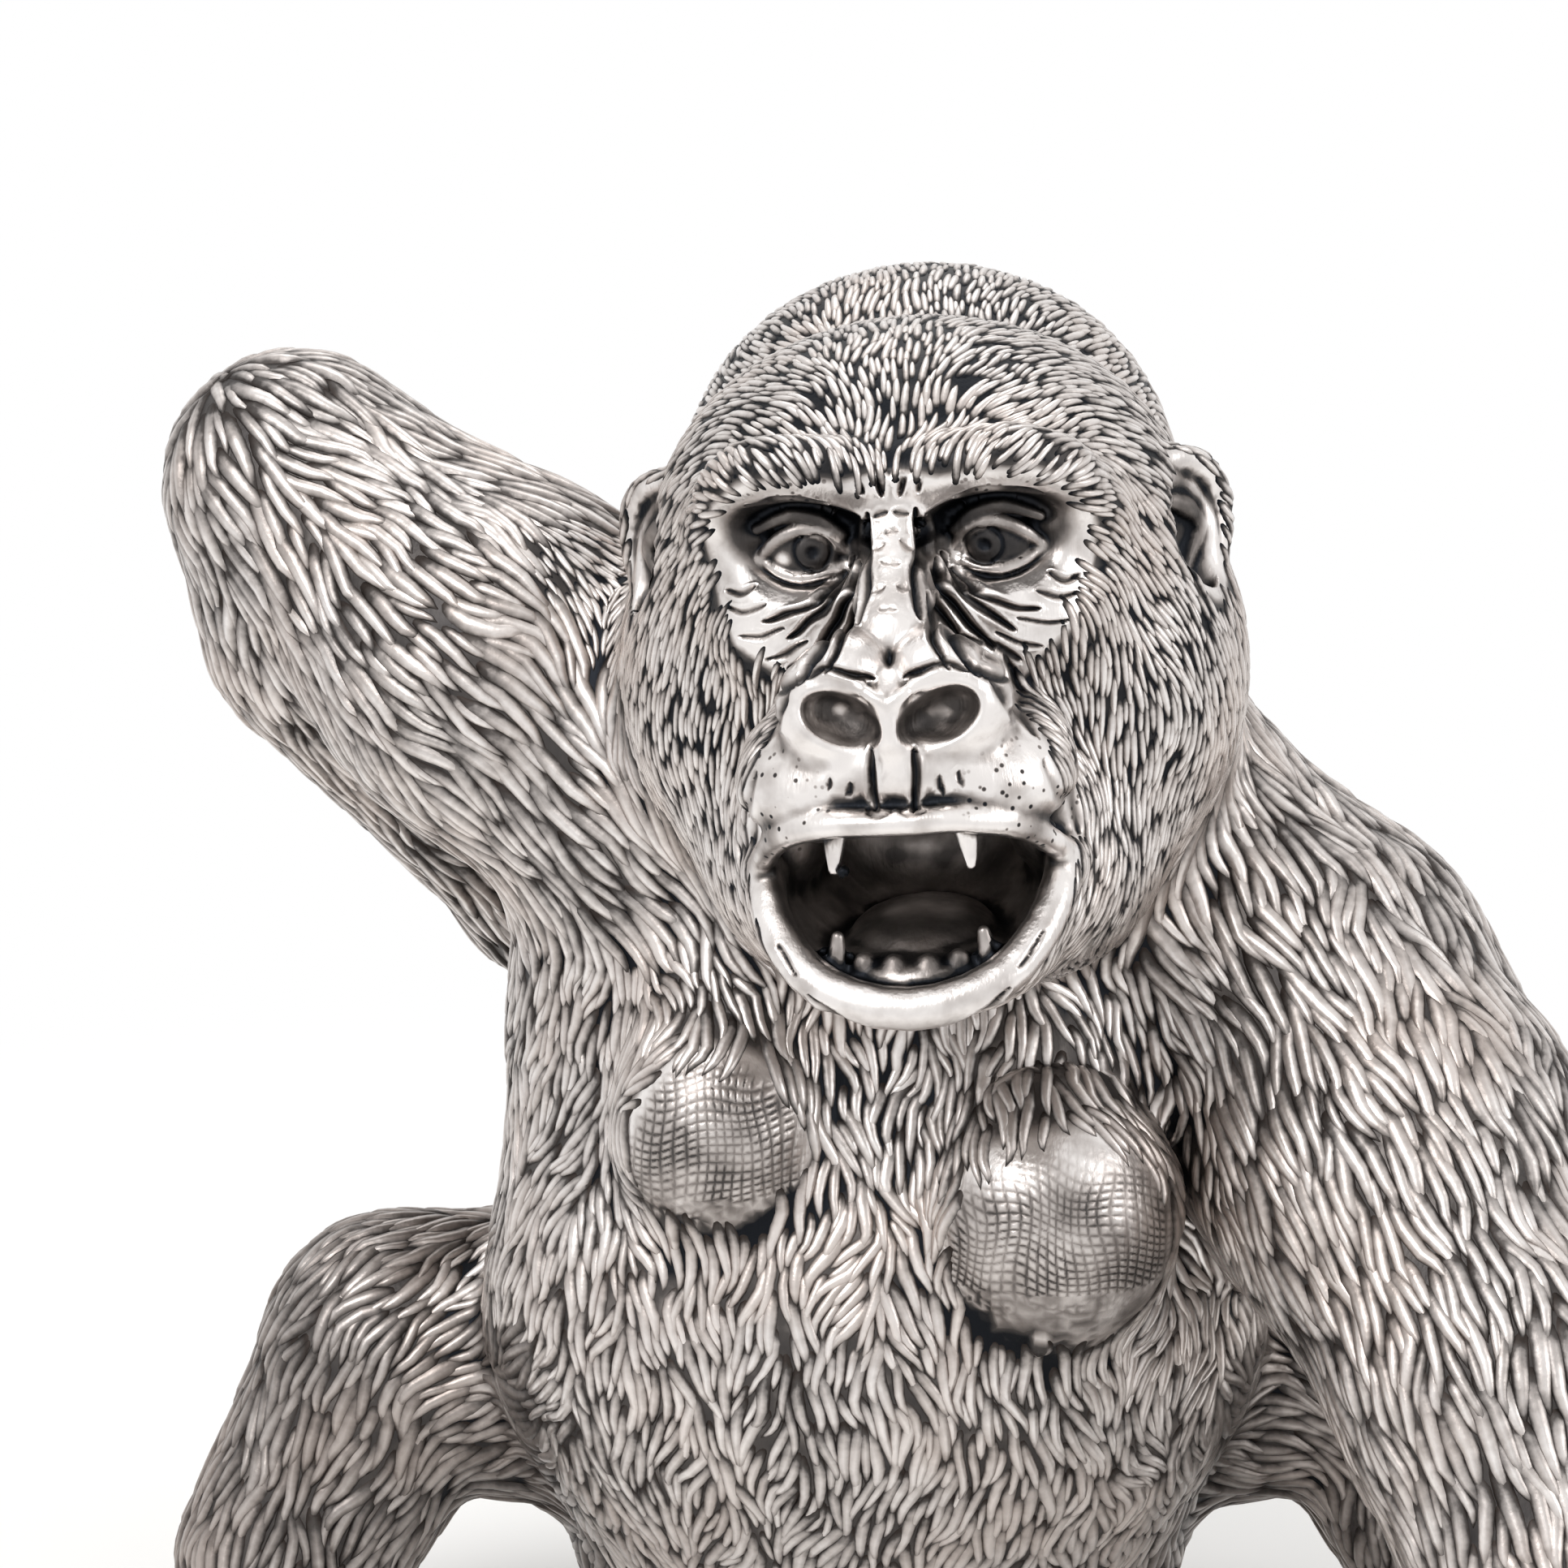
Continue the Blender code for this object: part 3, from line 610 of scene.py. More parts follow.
HEAD_GUIDES = [
    ((0, -1, 7), (0, 0.25, 1)), ((4, -1, 7.5), (0.35, 0.3, 1)), ((8, 0, 7), (0.8, 0.4, 0.8)),
    ((11.5, 2, 5.5), (1, 0.5, 0.35)), ((13.5, 4, 1), (0.6, 0.6, -0.7)), ((0, 6, 11.8), (0, 1, 0.3)),
    ((8, 6, 10.5), (0.6, 0.8, 0.1)), ((14, 8, 6), (0.8, 0.6, -0.3)), ((16.5, 12, 0), (0.3, 0.5, -0.9)),
    ((0, 18, 13), (0, 0.5, 0.9)), ((0, 27, 13.5), (0, 1, 0)), ((12, 24, 8), (0.5, 0.5, 0.3)),
    ((0, 38, 4), (0, 0.4, -1)), ((12, 34, 0), (0.3, 0.4, -0.9)), ((15, 6, -3), (0.35, 0.5, -0.9)),
    ((14, 4, -8), (0.3, 0.3, -1)), ((17, 8, -10), (0.1, 0.3, -1)), ((12.5, -1, -12), (0.15, 0.1, -1)),
    ((16, 6, -18), (-0.3, 0, -1)), ((12, 0, -20), (-0.35, -0.1, -1)),
    ((11, -3, -24), (-0.7, -0.2, -0.8)), ((6, -5, -28), (-0.9, 0.1, -0.5)), ((0, -7, -29), (0, 1, -0.4)),
    ((6, 4, -28), (0.2, 1, -0.3)), ((18.5, 22, -4), (0.1, 0.5, -1)), ((17, 28, -10), (0, 0.4, -1)),
]
TORSO_GUIDES = [
    ((3, 12, 75), (0, 0.5, -1)), ((3, 18, 60), (0, 0.1, -1)), ((-10, 17, 55), (-0.1, 0, -1)),
    ((16, 14, 55), (0.15, 0.05, -1)), ((0, 17, 40), (0, 0, -1)), ((12, 16, 35), (0, 0, -1)),
    ((-12, 16, 35), (0, 0, -1)), ((0, 20, 20), (0, 0.1, -1)), ((14, 18, 15), (0.2, 0, -1)),
    ((-14, 18, 15), (-0.2, 0, -1)), ((0, 16, 4), (0, -0.5, -1)), ((0, -14, 56), (0, -0.2, -1)),
    ((-10, -14, 52), (-0.2, -0.2, -1)), ((12, -18, 50), (0.1, -0.2, -1)), ((0, -20, 44), (0, -0.1, -1)),
    ((-20, -8, 45), (-0.15, 0, -1)), ((20, -10, 42), (0.1, 0, -1)), ((0, -26, 30), (0, 0, -1)),
    ((-14, -22, 30), (-0.1, 0, -1)), ((14, -22, 30), (0.1, 0, -1)), ((-25, -4, 30), (-0.1, 0, -1)),
    ((25, -5, 30), (0.1, 0, -1)), ((0, -22, 16), (0, 0.3, -1)), ((15, -16, 14), (0, 0.3, -1)),
    ((-15, -16, 14), (0, 0.3, -1)), ((20, -4, 70), (0.75, -0.2, -0.6)),
    ((-12, -2, 72), (-0.7, 0.1, -0.2)),
]
ARM_GUIDES = [
    *combed((0.77, -0.2, -0.58), (-27, -10, 72), (-20, -14, 66), (-28, 2, 84), (-18, 0, 77), (-26, 0, 62)),
    ((-14, -14, 60), (0.8, -0.1, -0.6)),
    *combed((0.46, 0.34, -0.82), (-40, 12, 74), (-32, 18, 66), (-28, 10, 60), (-24, 24, 56)),
    ((-13, 21, 49), (0.9, 0.1, -0.45)), ((26, -12, 64), (0.6, -0.45, -0.65)),
    *combed((0.37, -0.62, -0.69), (30, -2, 60), (38, -8, 56), (24, -16, 55), (36, -20, 46)),
    *combed((0.37, -0.62, -0.69), (45, -18, 44), (32, -30, 42), (40, -24, 52)),
    *combed((0.2, -0.5, -0.84), (45, -32, 20), (38, -38, 24), (50, -28, 22), (44, -24, 26)),
    ((44, -45, 6), (0, -1, -0.3)),
]
LEG_GUIDES = [
    ((24, -5, 26), (1, -0.1, 0.1)), ((24, 6, 34), (1, 0, -0.1)), ((26, 14, 24), (1, 0, 0)),
    ((26, 4, 13), (1, 0, -0.2)), ((38, 0, 28), (0.6, -0.1, -0.8)), ((36, 8, 30), (0.8, 0, -0.6)),
    ((41, -4, 16), (0.3, -0.1, -1)), ((46, 4, 16), (0.3, 0, -1)), ((36, 12, 16), (0.25, 0, -1)),
    ((34, 2, 12), (0.2, 0, -1)), ((44, -8, 4), (0.2, -1, -0.2)), ((40, 8, 4), (0.2, 0.4, -1)),
]


def both_sides(guides):
    return guides + [((-x, y, z), (-a, b, c)) for (x, y, z), (a, b, c) in guides if x > 1]


REGIONS = {
    "head": both_sides(HEAD_GUIDES),
    "torso": TORSO_GUIDES,
    "arms": ARM_GUIDES,
    "legs": both_sides(LEG_GUIDES),
}
region_names = list(REGIONS)
guide_place = np.concatenate([np.array([g[0] for g in REGIONS[name]], np.float32) for name in REGIONS])
guide_way = np.concatenate([np.array([g[1] for g in REGIONS[name]], np.float32) for name in REGIONS])
guide_region = np.concatenate([[n] * len(REGIONS[name]) for n, name in enumerate(REGIONS)])
of_head = guide_region == 0
guide_place[of_head] = from_head(guide_place[of_head])
guide_way[of_head] = guide_way[of_head] @ head_axes.T
guide_way /= np.linalg.norm(guide_way, axis=1)[:, None]


def unit(rows):
    return rows / np.maximum(np.linalg.norm(rows, axis=-1, keepdims=True), 1e-9)


def hair_way(points, normals):
    """The direction of the coat at points on the skin, and the region that each belongs to."""
    apart = np.linalg.norm(points[:, None] - guide_place[None], axis=2)
    weight = 1 / (apart**2 + 9) ** 2
    way = unit(weight @ guide_way)
    share = np.stack([weight[:, guide_region == n].sum(1) for n in range(len(REGIONS))], 1)
    region = share.argmax(1)
    way = unit(way - normals * np.sum(way * normals, axis=1)[:, None])
    side = np.cross(normals, way)
    wander = np.array((0.16, 0.48, 0.28, 0.36))[region]  # radians, in the order of REGIONS
    angle = wander * (waves(points, 6.5, 11) + 0.6 * waves(points, 3.2, 12))
    return unit(way * np.cos(angle)[:, None] + side * np.sin(angle)[:, None]), region


print("guides:", len(guide_place))

# %% [markdown]
# The strokes must lie close side by side and overlap end to end, with no two on top of each other. Many
# random places on the skin are tried in turn, and one is kept if no stroke kept before it is nearer
# than a stroke's width sideways or its length lengthways. Each kept stroke then follows the directions
# forwards and backwards over the skin, and nine points along it by five across are set on its ridge.

# %% Strokes of the coat
STROKE = {  # width, length and height of one stroke in millimetres
    "head": (0.66, 3.6, 0.24),
    "torso": (1.10, 5.6, 0.34),
    "arms": (1.40, 8.0, 0.42),
    "legs": (1.30, 6.6, 0.38),
}
tries = 140000
SPACING = ((0.64, 0.60), (0.50, 0.38))  # shares of a stroke's width and length, round by round
gap_filler = 0.62  # size of a stroke of the second round
ALONG, ACROSS = 9, 5
stroke_sizes = np.array([STROKE[name] for name in region_names], np.float32)

surface = bmesh.new()
surface.from_mesh(skin.data)
bmesh.ops.triangulate(surface, faces=surface.faces)
surface.faces.ensure_lookup_table()
tree = BVHTree.FromBMesh(surface)
corners = np.array([[v.index for v in f.verts] for f in surface.faces])
surface.free()
smooth_normal = unit(links.mean(links.mean(points_of(skin.data, "normal"))))


def on_skin(points):
    """The nearest place on the skin to each point, and the skin's smooth direction there."""
    found = [tree.find_nearest(Vector(p)) for p in points.tolist()]
    where = np.array([f[0] for f in found], np.float32)
    face = np.array([f[2] for f in found])
    return where, unit(smooth_normal[corners[face]].mean(1))


def seeds(count, seed=3):
    rng = np.random.default_rng(seed)
    triangle = place[corners]
    area = np.linalg.norm(np.cross(triangle[:, 1] - triangle[:, 0], triangle[:, 2] - triangle[:, 0]), axis=1)
    face = rng.choice(len(corners), count, p=area / area.sum())
    a, b = rng.random((2, count, 1)).astype(np.float32)
    flip = a + b > 1
    a, b = np.where(flip, 1 - a, a), np.where(flip, 1 - b, b)
    corner = triangle[face]
    points = corner[:, 0] + a * (corner[:, 1] - corner[:, 0]) + b * (corner[:, 2] - corner[:, 0])
    normals = unit(smooth_normal[corners[face]].mean(1))
    keep = (bareness(points, -0.2) < 0.5) & (points[:, 2] > 0.8)
    return points[keep], normals[keep]


def spread_out(points, normals, way, region):
    """The places that keep their distance from all those chosen before them, and the round of each.
    A second round with smaller distances fills the gaps of the first with smaller strokes."""
    near = KDTree(len(points))
    for n, p in enumerate(points.tolist()):
        near.insert(p, n)
    near.balance()
    side = np.cross(normals, way)

    def crowd(n):
        around = np.array([f[1] for f in near.find_range(points[n].tolist(), float(length[n]))])
        step = points[around] - points[n]
        apart = np.hypot(step @ way[n] / length[n], step @ side[n] / width[n])
        free[around[apart < 1]] = False

    chosen, turn_of = [], []
    for turn, (narrow, short) in enumerate(SPACING):
        width, length = stroke_sizes[region, 0] * narrow, stroke_sizes[region, 1] * short
        free = np.ones(len(points), bool)
        for n in chosen:
            crowd(n)
        for n in range(len(points)):
            if free[n]:
                chosen.append(n)
                turn_of.append(turn)
                crowd(n)
    return np.array(chosen), np.array(turn_of)


points, normals = seeds(tries)
way, region = hair_way(points, normals)
chosen, turn_of = spread_out(points, normals, way, region)
points, normals, region = points[chosen], normals[chosen], region[chosen]
rng = np.random.default_rng(8)
grown = rng.uniform(0.8, 1.2, len(points)) * np.where(turn_of == 1, gap_filler, 1.0)
half = stroke_sizes[region, 1] * grown / 2
path = {0: (points, normals)}
for sense in (1, -1):
    here, face_out = points, normals
    for step in range(1, ALONG // 2 + 1):
        way, _ = hair_way(here, face_out)
        here, face_out = on_skin(here + way * (sense * half / (ALONG // 2))[:, None])
        path[sense * step] = here, face_out
order = range(-(ALONG // 2), ALONG // 2 + 1)
spine = np.stack([path[n][0] for n in order], 1)
out = np.stack([path[n][1] for n in order], 1)
bare = bareness(spine.reshape(-1, 3), -0.2).reshape(len(spine), ALONG)
keep = (bare > 0.5).mean(1) < 0.35
spine, out, region, grown = spine[keep], out[keep], region[keep], grown[keep]
ahead = unit(np.gradient(spine, axis=1))
out = unit(out - ahead * np.sum(out * ahead, axis=2, keepdims=True))
side = np.cross(out, ahead)
print("strokes:", {name: int((region == n).sum()) for n, name in enumerate(region_names)})

# %% [markdown]
# The ridge of a stroke is broad and flat-topped in the middle, like a drop of wax drawn out. Its root
# starts below the skin, its highest part is past the middle, and its tip falls off quickly, so that
# each one seems to lie over the root of the next. The mesh of all strokes is one small grid and an
# Array modifier, and the points of each copy are then moved to their stroke.

# %% Ridges
def ridge_mesh(name, count):
    bm = bmesh.new()
    bmesh.ops.create_grid(bm, x_segments=ALONG - 1, y_segments=ACROSS - 1, size=1)
    grid = np.array([v.co for v in bm.verts], np.float32)
    piece = new_piece(name, bm)
    copies = piece.modifiers.new("strokes", "ARRAY")
    copies.use_relative_offset = False
    copies.fit_type = "FIXED_COUNT"
    copies.count = count
    return settle(piece), grid[:, 0], grid[:, 1]


def carve_strokes(number, name):
    mine = piece_of == number
    count = int(mine.sum())
    piece, u, v = ridge_mesh(name, count)
    width, _, height = STROKE[region_names[region[mine][0]]]
    rng = np.random.default_rng(20 + number)
    broad = width * rng.uniform(0.85, 1.2, (count, 1)) / 2
    high = height * rng.uniform(0.75, 1.15, (count, 1)) * np.clip(grown[mine][:, None] + 0.1, 0.7, 1.0)
    broad = broad * np.clip(grown[mine][:, None] + 0.15, 0.8, 1.0)
    row = np.rint((u + 1) / 2 * (ALONG - 1)).astype(int)
    taper = np.clip(1 - np.abs(u) ** 2.6, 0, 1) ** 0.6 * (1 - 0.25 * u)
    lift = np.interp(u, (-1, -0.6, 0.1, 0.6, 1), (-0.3, 0.55, 1.0, 0.95, -0.1))
    crown = 1 - 1.30 * np.abs(v) ** 3.2
    level = lift * crown - 0.35 * np.abs(v) ** 4
    polish = lift * (1 - 1.05 * np.abs(v) ** 1.9) - 0.12 * (1 - u) / 2
    centre, upward, across = spine[mine][:, row], out[mine][:, row], side[mine][:, row]
    lean = rng.uniform(-0.12, 0.12, (count, 1))
    made = centre + across * (broad * taper * (v + lean * (1 - v**2)))[..., None]
    made = made + upward * (high * level)[..., None]
    made[..., 2] = np.maximum(made[..., 2], 0.05)
    place_points(piece.data, made.reshape(-1, 3))
    worn = piece.data.attributes.new("height", "FLOAT", "POINT")
    worn.data.foreach_set("value", (polish * np.ones((count, 1))).astype(np.float32).ravel())
    tone = piece.data.attributes.new("tone", "FLOAT", "POINT")
    tone.data.foreach_set("value", np.repeat(rng.random(count), len(u)).astype(np.float32))
    piece.data.shade_smooth()
    return piece


piece_names = [f"{name}_coat" for name in region_names] + ["crown_coat", "back_coat"]
high_up = to_head(spine[:, ALONG // 2])[:, 2] > 1.5
behind = spine[:, ALONG // 2, 1] > 0
crown_piece, back_piece = piece_names.index("crown_coat"), piece_names.index("back_coat")
piece_of = np.select([(region == 0) & high_up, (region == 1) & behind], [crown_piece, back_piece], region)
coat = [carve_strokes(n, name) for n, name in enumerate(piece_names)]
print("triangles of the coat:", {piece.name: len(piece.data.polygons) * 2 for piece in coat})

# %% [markdown]
# Four values go with the skin's points for its finish: where it is hidden under the coat, how sunken a
# point is, where the mouth is, and where the cast pits lie. A point is sunken by how far it lies below
# the mean of its neighbours, at a fine and a broad reach, which is where polishing doesn't get to. The
# sunken value also carries painted shade in the eye sockets, under the brow, and a painted highlight
# on each eye.

# %% Bare and sunken skin
def store(mesh, name, values):
    layer = mesh.attributes.new(name, "FLOAT", "POINT")
    layer.data.foreach_set("value", values.astype(np.float32))


normal = points_of(skin.data, "normal")
broad = place
for turn in range(14):
    broad = links.mean(broad)
    if turn == 2:
        fine = broad
sunk_and_painted_light = np.sum((fine - place) * normal, axis=1) * 7 + np.sum((broad - place) * normal, axis=1) * 2.2
sunk_and_painted_light = np.maximum(sunk_and_painted_light, groove * in_front * 2.2)
local = to_head(place)
mirrored = np.abs(local * (1, 0, 0)) + local * (0, 1, 1)


def around(centre, radii, soft):
    """1 inside an ellipsoid in the head's frame, on both sides, fading to 0 at its surface."""
    return np.clip((1 - np.linalg.norm((mirrored - centre) / radii, axis=1)) * soft, 0, 1)


in_mouth = around(mouth_centre, (9.3, 15.3, 10.0), 17) * (local[:, 2] < -14.5)
in_mouth = in_mouth * np.clip((local[:, 1] + 10.1) / 1.1, 0, 1)
lower_teeth = around((1.8, -8.6, -25.2), (2.6, 1.6, 1.3), 3)
socket = around((6.3, -1.4, 0.6), (5.4, 4.4, 3.1), 5)
eyeball = around((5.75, 0.4, -0.6), (2.8, 2.4, 1.7), 4)
nostril = around((3.1, -10.0, -9.0), (3.3, 3.4, 2.2), 4)
ear_hollow = around((16.4, 10.8, -2.6), (2.1, 3.8, 4.4), 4)
# Painted highlight: a small bright glint on each eye, on the side the key lamp comes from, lightens the skin's
# colour there.
gleam = sum(
    np.exp(-((local[:, 0] - across) / 0.55) ** 2 - ((local[:, 2] + 0.85) / 0.45) ** 2)
    for across in (-7.3, 3.8)
)
lids = sum(
    np.exp(-(np.maximum(cord(bent(lid), [0.38] * 13)[0](mirrored), 0) / 0.12) ** 2)
    for lid in (upper_lid, lower_lid)
)
# Painted shade: the eye sockets are darkened for the shade of the brow, on top of the sulphide in them, and the
# eyes a little more.
sunk_and_painted_light = sunk_and_painted_light + socket * 0.54 + eyeball * 0.15 + ear_hollow * 0.42
sunk_and_painted_light = np.minimum(sunk_and_painted_light, 1.2 - 0.66 * np.clip(nostril * 2, 0, 1))
sunk_and_painted_light = sunk_and_painted_light - gleam * 0.9 * (local[:, 1] < 2) - np.clip(lids, 0, 1) * 0.34 * socket
pore = around((7.0, -6.0, -15.0), (5.0, 9.0, 4.5), 3) + 0.6 * around((6.0, -1.0, 4.2), (6.0, 4.0, 2.0), 3)
on_head = np.clip((14 - np.linalg.norm(local - (0, 14, -6), axis=1)) / 6 + 2, 0, 1)
breast = np.clip(chest_depth(place) / 0.8, 0, 1)
store(skin.data, "hidden", (1 - bareness(place, 0.3)) * (0.55 + 0.35 * on_head))
worn_lips = 0.05 + 0.05 * waves(place, 3.0, 43) * np.clip(face_depth(place), 0, 1)
dulled = (0.13 + 0.26 * hatched / hatch_depth) * breast
store(skin.data, "sunk_and_painted_light", np.clip(sunk_and_painted_light + worn_lips + dulled, 0, 1))
store(skin.data, "pore", pore)
store(skin.data, "mouth", in_mouth * 0.26 + lower_teeth * 0.2)
thinner = skin.modifiers.new("thinner net", "DECIMATE")
most_triangles = 190000
thinner.ratio = most_triangles / (len(skin.data.loops) - 2 * len(skin.data.polygons))
settle(skin)
print("sunken share:", round(float((sunk_and_painted_light > 0.5).mean()), 3))
print("triangles of the skin:", len(skin.data.polygons))

# %% [markdown]
# The skin and the strokes were worked out in millimetres, and everything in the scene is in metres, so
# their points are scaled once here. The skin stands for the CAD solid, and the strokes lie on it. All
# ride on the one body.

# %% The pieces take the solid's place
for piece in [skin, *coat]:
    place_points(piece.data, points_of(piece.data) * 0.001)
    piece.data.shade_smooth()
    piece.data.materials.clear()
    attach(piece, "root")
    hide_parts("gorilla")

# %% [markdown]
# Sterling silver, cast, oxidised and polished on the high places. Silver is the whitest metal and its
# polish is a soft hand finish, so the high places have a roughness near 0.3. The sulphide in the
# hollows is blue-black and matt, and where it was half rubbed away it is warm grey. The legs' silver
# is browner and darker, and its ramp stops short of the brightest colour.

# %% Colours and nodes
def linear(code):
    parts = [int(code[k:k + 2], 16) / 255 for k in (1, 3, 5)]
    return tuple(c / 12.92 if c <= 0.04045 else ((c + 0.055) / 1.055) ** 2.4 for c in parts) + (1.0,)


BRIGHT, SATIN, WARM = linear("#EEE9E6"), linear("#C0B9B5"), linear("#8C8581")
TARNISH, BROWN, SULPHIDE = linear("#524E4C"), linear("#3A3431"), linear("#1F2125")
MM = 1000.0


def add(tree, kind, links=(), inputs=(), **settings):
    """Adds one node, with its settings, the values of its sockets and the links that come into it."""
    node = tree.nodes.new(kind)
    for name, value in settings.items():
        setattr(node, name, value)
    for socket, value in dict(inputs).items():
        node.inputs[socket].default_value = value
    for socket, source in dict(links).items():
        tree.links.new(source, node.inputs[socket])
    return node


def ramp(tree, source, stops):
    node = add(tree, "ShaderNodeValToRGB", {"Fac": source})
    while len(node.color_ramp.elements) < len(stops):
        node.color_ramp.elements.new(0.5)
    for element, (position, colour) in zip(node.color_ramp.elements, stops):
        element.position, element.color = position, colour
    return node.outputs[0]


def grey(value):
    return (value, value, value, 1.0)


# %% Oxidised silver of the coat
def coat_finish(name, stops, least_rough):
    """Chased silver: dark between the strokes, and brighter the higher a point of a stroke stands."""
    finish = bpy.data.materials.new(name)
    finish.use_nodes = True
    tree = finish.node_tree
    metal = tree.nodes["Principled BSDF"]
    place = add(tree, "ShaderNodeTexCoord").outputs["Object"]
    height = add(tree, "ShaderNodeAttribute", attribute_name="height").outputs["Fac"]
    tone = add(tree, "ShaderNodeAttribute", attribute_name="tone").outputs["Fac"]
    rub = add(tree, "ShaderNodeTexNoise", {"Vector": place}, {"Scale": MM / 0.8, "Detail": 3.0}).outputs["Fac"]
    patches = add(tree, "ShaderNodeTexNoise", {"Vector": place}, {"Scale": MM / 9, "Detail": 3.0})
    patches = patches.outputs["Fac"]
    worn = height
    for source, amount in ((rub, 0.5), (tone, 0.25), (patches, 0.7)):
        about_zero = {1: amount, 2: -amount / 2}
        change = add(tree, "ShaderNodeMath", {0: source}, about_zero, operation="MULTIPLY_ADD")
        worn = add(tree, "ShaderNodeMath", {0: worn, 1: change.outputs[0]}, operation="ADD").outputs[0]
    colour = ramp(tree, worn, stops)
    warmth = ramp(tree, patches, [(0.42, grey(0.0)), (0.66, grey(0.5))])
    tinted = {"data_type": "RGBA", "blend_type": "MULTIPLY"}
    colour = add(tree, "ShaderNodeMix", {0: warmth, 6: colour}, {7: linear("#D2C6BE")}, **tinted)
    tree.links.new(colour.outputs[2], metal.inputs["Base Color"])
    tree.links.new(ramp(tree, worn, [(0.1, grey(0.55)), (0.9, grey(least_rough))]), metal.inputs["Roughness"])
    metal.inputs["Metallic"].default_value = 1.0
    brush = add(tree, "ShaderNodeTexNoise", {"Vector": place}, {"Scale": MM / 0.35, "Detail": 2.0})
    depth = {"Strength": 0.35, "Distance": 0.00006}
    bump = add(tree, "ShaderNodeBump", {"Height": brush.outputs["Fac"]}, depth)
    tree.links.new(bump.outputs[0], metal.inputs["Normal"])
    return finish


head_silver = coat_finish(
    "chased silver of the head", [(0.0, SULPHIDE), (0.26, TARNISH), (0.52, SATIN), (0.92, BRIGHT)], 0.27)
body_silver = coat_finish(
    "chased silver of the body", [(0.0, BROWN), (0.25, TARNISH), (0.60, SATIN), (1.0, BRIGHT)], 0.32)
arm_silver = coat_finish(
    "chased silver of the arms", [(0.0, BROWN), (0.28, TARNISH), (0.68, SATIN), (1.0, BRIGHT)], 0.32)
leg_silver = coat_finish(
    "browned silver of the legs", [(0.0, BROWN), (0.28, TARNISH), (0.60, WARM), (1.0, SATIN)], 0.34)

# %% Oxidised silver of the skin
skin_silver = bpy.data.materials.new("polished and oxidised silver skin")
skin_silver.use_nodes = True
tree = skin_silver.node_tree
metal = tree.nodes["Principled BSDF"]
place_node = add(tree, "ShaderNodeTexCoord").outputs["Object"]
sunk_and_painted_light_in, hidden, mouth, pore = (
    add(tree, "ShaderNodeAttribute", attribute_name=name).outputs["Fac"]
    for name in ("sunk_and_painted_light", "hidden", "mouth", "pore"))
cloud = add(tree, "ShaderNodeTexNoise", {"Vector": place_node}, {"Scale": MM / 3.0, "Detail": 4.0})
cloud = add(tree, "ShaderNodeMath", {0: cloud.outputs["Fac"]}, {1: 0.7, 2: -0.35}, operation="MULTIPLY_ADD")
pores = add(tree, "ShaderNodeTexVoronoi", {"Vector": place_node}, {"Scale": MM / 0.75, "Randomness": 1.0})
pores = ramp(tree, pores.outputs["Distance"], [(0.13, grey(0.7)), (0.24, grey(0.0))])
pores = add(tree, "ShaderNodeMath", {0: pores, 1: pore}, operation="MULTIPLY").outputs[0]
metal.inputs["Metallic"].default_value = 1.0
scratch = add(tree, "ShaderNodeMapping", {"Vector": place_node}, {"Scale": (1.0, 1.0, 0.12)}).outputs[0]
scratch = add(tree, "ShaderNodeTexNoise", {"Vector": scratch}, {"Scale": MM / 0.22, "Detail": 2.0})
dark = sunk_and_painted_light_in
for source in (cloud.outputs[0], pores, hidden, mouth):
    dark = add(tree, "ShaderNodeMath", {0: dark, 1: source}, operation="ADD").outputs[0]
colour = ramp(
    tree, dark, [(0.0, BRIGHT), (0.20, SATIN), (0.38, WARM), (0.56, TARNISH), (0.95, SULPHIDE)])
tree.links.new(colour, metal.inputs["Base Color"])
tree.links.new(ramp(tree, dark, [(0.05, grey(0.28)), (0.5, grey(0.46))]), metal.inputs["Roughness"])
depth = {"Strength": 0.5, "Distance": 0.00005}
bump = add(tree, "ShaderNodeBump", {"Height": scratch.outputs["Fac"]}, depth)
tree.links.new(bump.outputs[0], metal.inputs["Normal"])

finish_of = {
    "skin": skin_silver,
    "head_coat": head_silver,
    "crown_coat": head_silver,
    "torso_coat": body_silver,
    "back_coat": body_silver,
    "arms_coat": arm_silver,
    "legs_coat": leg_silver,
}
for piece in [skin, *coat]:
    piece.data.materials.append(finish_of[piece.name])
print("finishes:", {name: finish.name for name, finish in finish_of.items()})

# %% [markdown]
# A pack shot of silver is made in a white tent: large soft lamps from the left, the right and above, and
# a white ground. Metal shows what stands round it, so it reflects the white of the tent, and its dark
# places come mostly from its own sulphide and not from the light, though the eye sockets also hold
# painted shade and the eyes a painted highlight. The lamps stay weak, so that a colour renders about as
# it is written. The world is plain white to the camera and in reflections, and a little weaker where it
# lights a matt surface.

# %% Lamps
def lamp(name, place, size, power, aim=(0, -0.01, 0.06)):
    data = bpy.data.lights.new(name, "AREA")
    data.shape, data.size, data.energy = "DISK", size, power
    made = bpy.data.objects.new(name, data)
    made.location = place
    made.rotation_euler = (Vector(aim) - Vector(place)).to_track_quat("-Z", "Y").to_euler()
    bpy.context.scene.collection.objects.link(made)
    return made


lamp("key", (-0.35, -0.45, 0.55), 0.45, 2.6)
lamp("fill", (0.55, -0.30, 0.30), 0.40, 0.9)
lamp("top", (0.0, 0.25, 0.60), 0.50, 0.8)


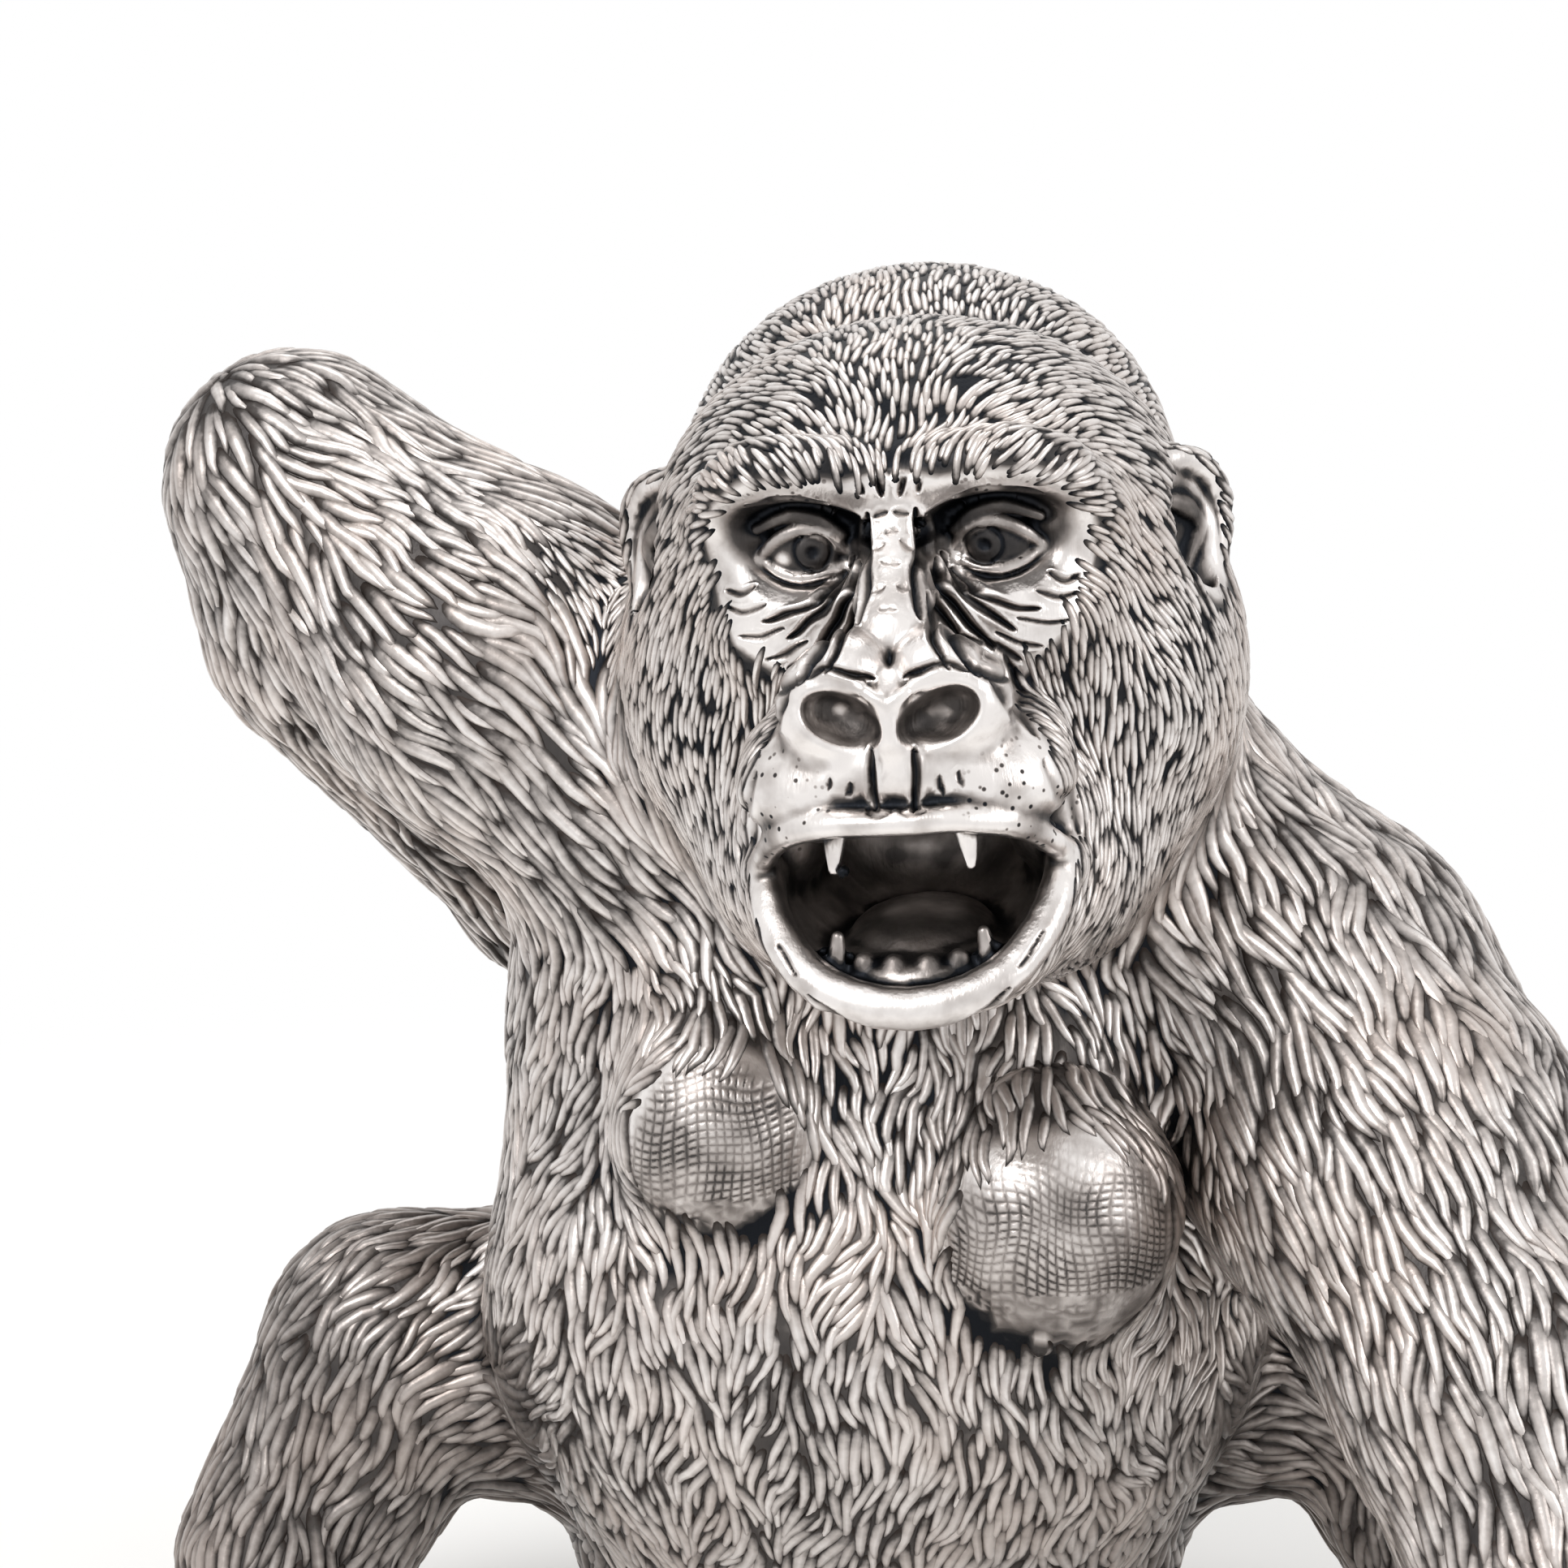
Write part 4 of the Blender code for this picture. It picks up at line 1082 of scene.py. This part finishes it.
def seen_rays(tree):
    """1 for a ray from the camera, off the metal or through glass, 0 for one that lights a matt surface."""
    rays = add(tree, "ShaderNodeLightPath").outputs
    seen = rays["Is Camera Ray"]
    for kind in ("Is Glossy Ray", "Is Transmission Ray"):
        seen = add(tree, "ShaderNodeMath", {0: seen, 1: rays[kind]}, operation="MAXIMUM").outputs[0]
    return seen


world = bpy.data.worlds.new("studio")
bpy.context.scene.world = world
world.use_nodes = True
room = world.node_tree
room.nodes.clear()
seen = seen_rays(room)
plain = add(room, "ShaderNodeBackground", inputs={"Color": grey(1.0), "Strength": 0.75})
white = add(room, "ShaderNodeBackground", inputs={"Color": grey(1.0), "Strength": 1.0})
mixed = add(room, "ShaderNodeMixShader", {0: seen, 1: plain.outputs[0], 2: white.outputs[0]})
add(room, "ShaderNodeOutputWorld", {"Surface": mixed.outputs[0]})

# %% [markdown]
# The floor is a wide white disc. Near the figure it is a real surface that takes a soft shadow, and
# further out it turns into plain white light, so that no edge shows against the white beyond it.

# %% Floor
bm = bmesh.new()
bmesh.ops.create_circle(bm, cap_ends=True, segments=96, radius=0.9)
floor = new_piece("floor", bm)
paper = bpy.data.materials.new("white paper sweep")
paper.use_nodes = True
sheet = paper.node_tree
matt = sheet.nodes["Principled BSDF"]
matt.inputs["Base Color"].default_value = linear("#F4F3F1")
matt.inputs["Roughness"].default_value = 0.6
where = add(sheet, "ShaderNodeTexCoord").outputs["Object"]
reach = add(sheet, "ShaderNodeVectorMath", {0: where}, operation="LENGTH").outputs["Value"]
fade = add(sheet, "ShaderNodeMapRange", {"Value": reach}, {"From Min": 0.07, "From Max": 0.20}).outputs[0]
light = add(sheet, "ShaderNodeEmission", inputs={"Color": grey(1.0), "Strength": 1.0})
share = add(sheet, "ShaderNodeMath", {0: seen_rays(sheet), 1: fade}, operation="MULTIPLY")
both_looks = add(sheet, "ShaderNodeMixShader", {0: share.outputs[0], 1: matt.outputs[0], 2: light.outputs[0]})
sheet.links.new(both_looks.outputs[0], sheet.nodes["Material Output"].inputs["Surface"])
floor.data.materials.append(paper)
bpy.context.scene.view_settings.view_transform = "Standard"
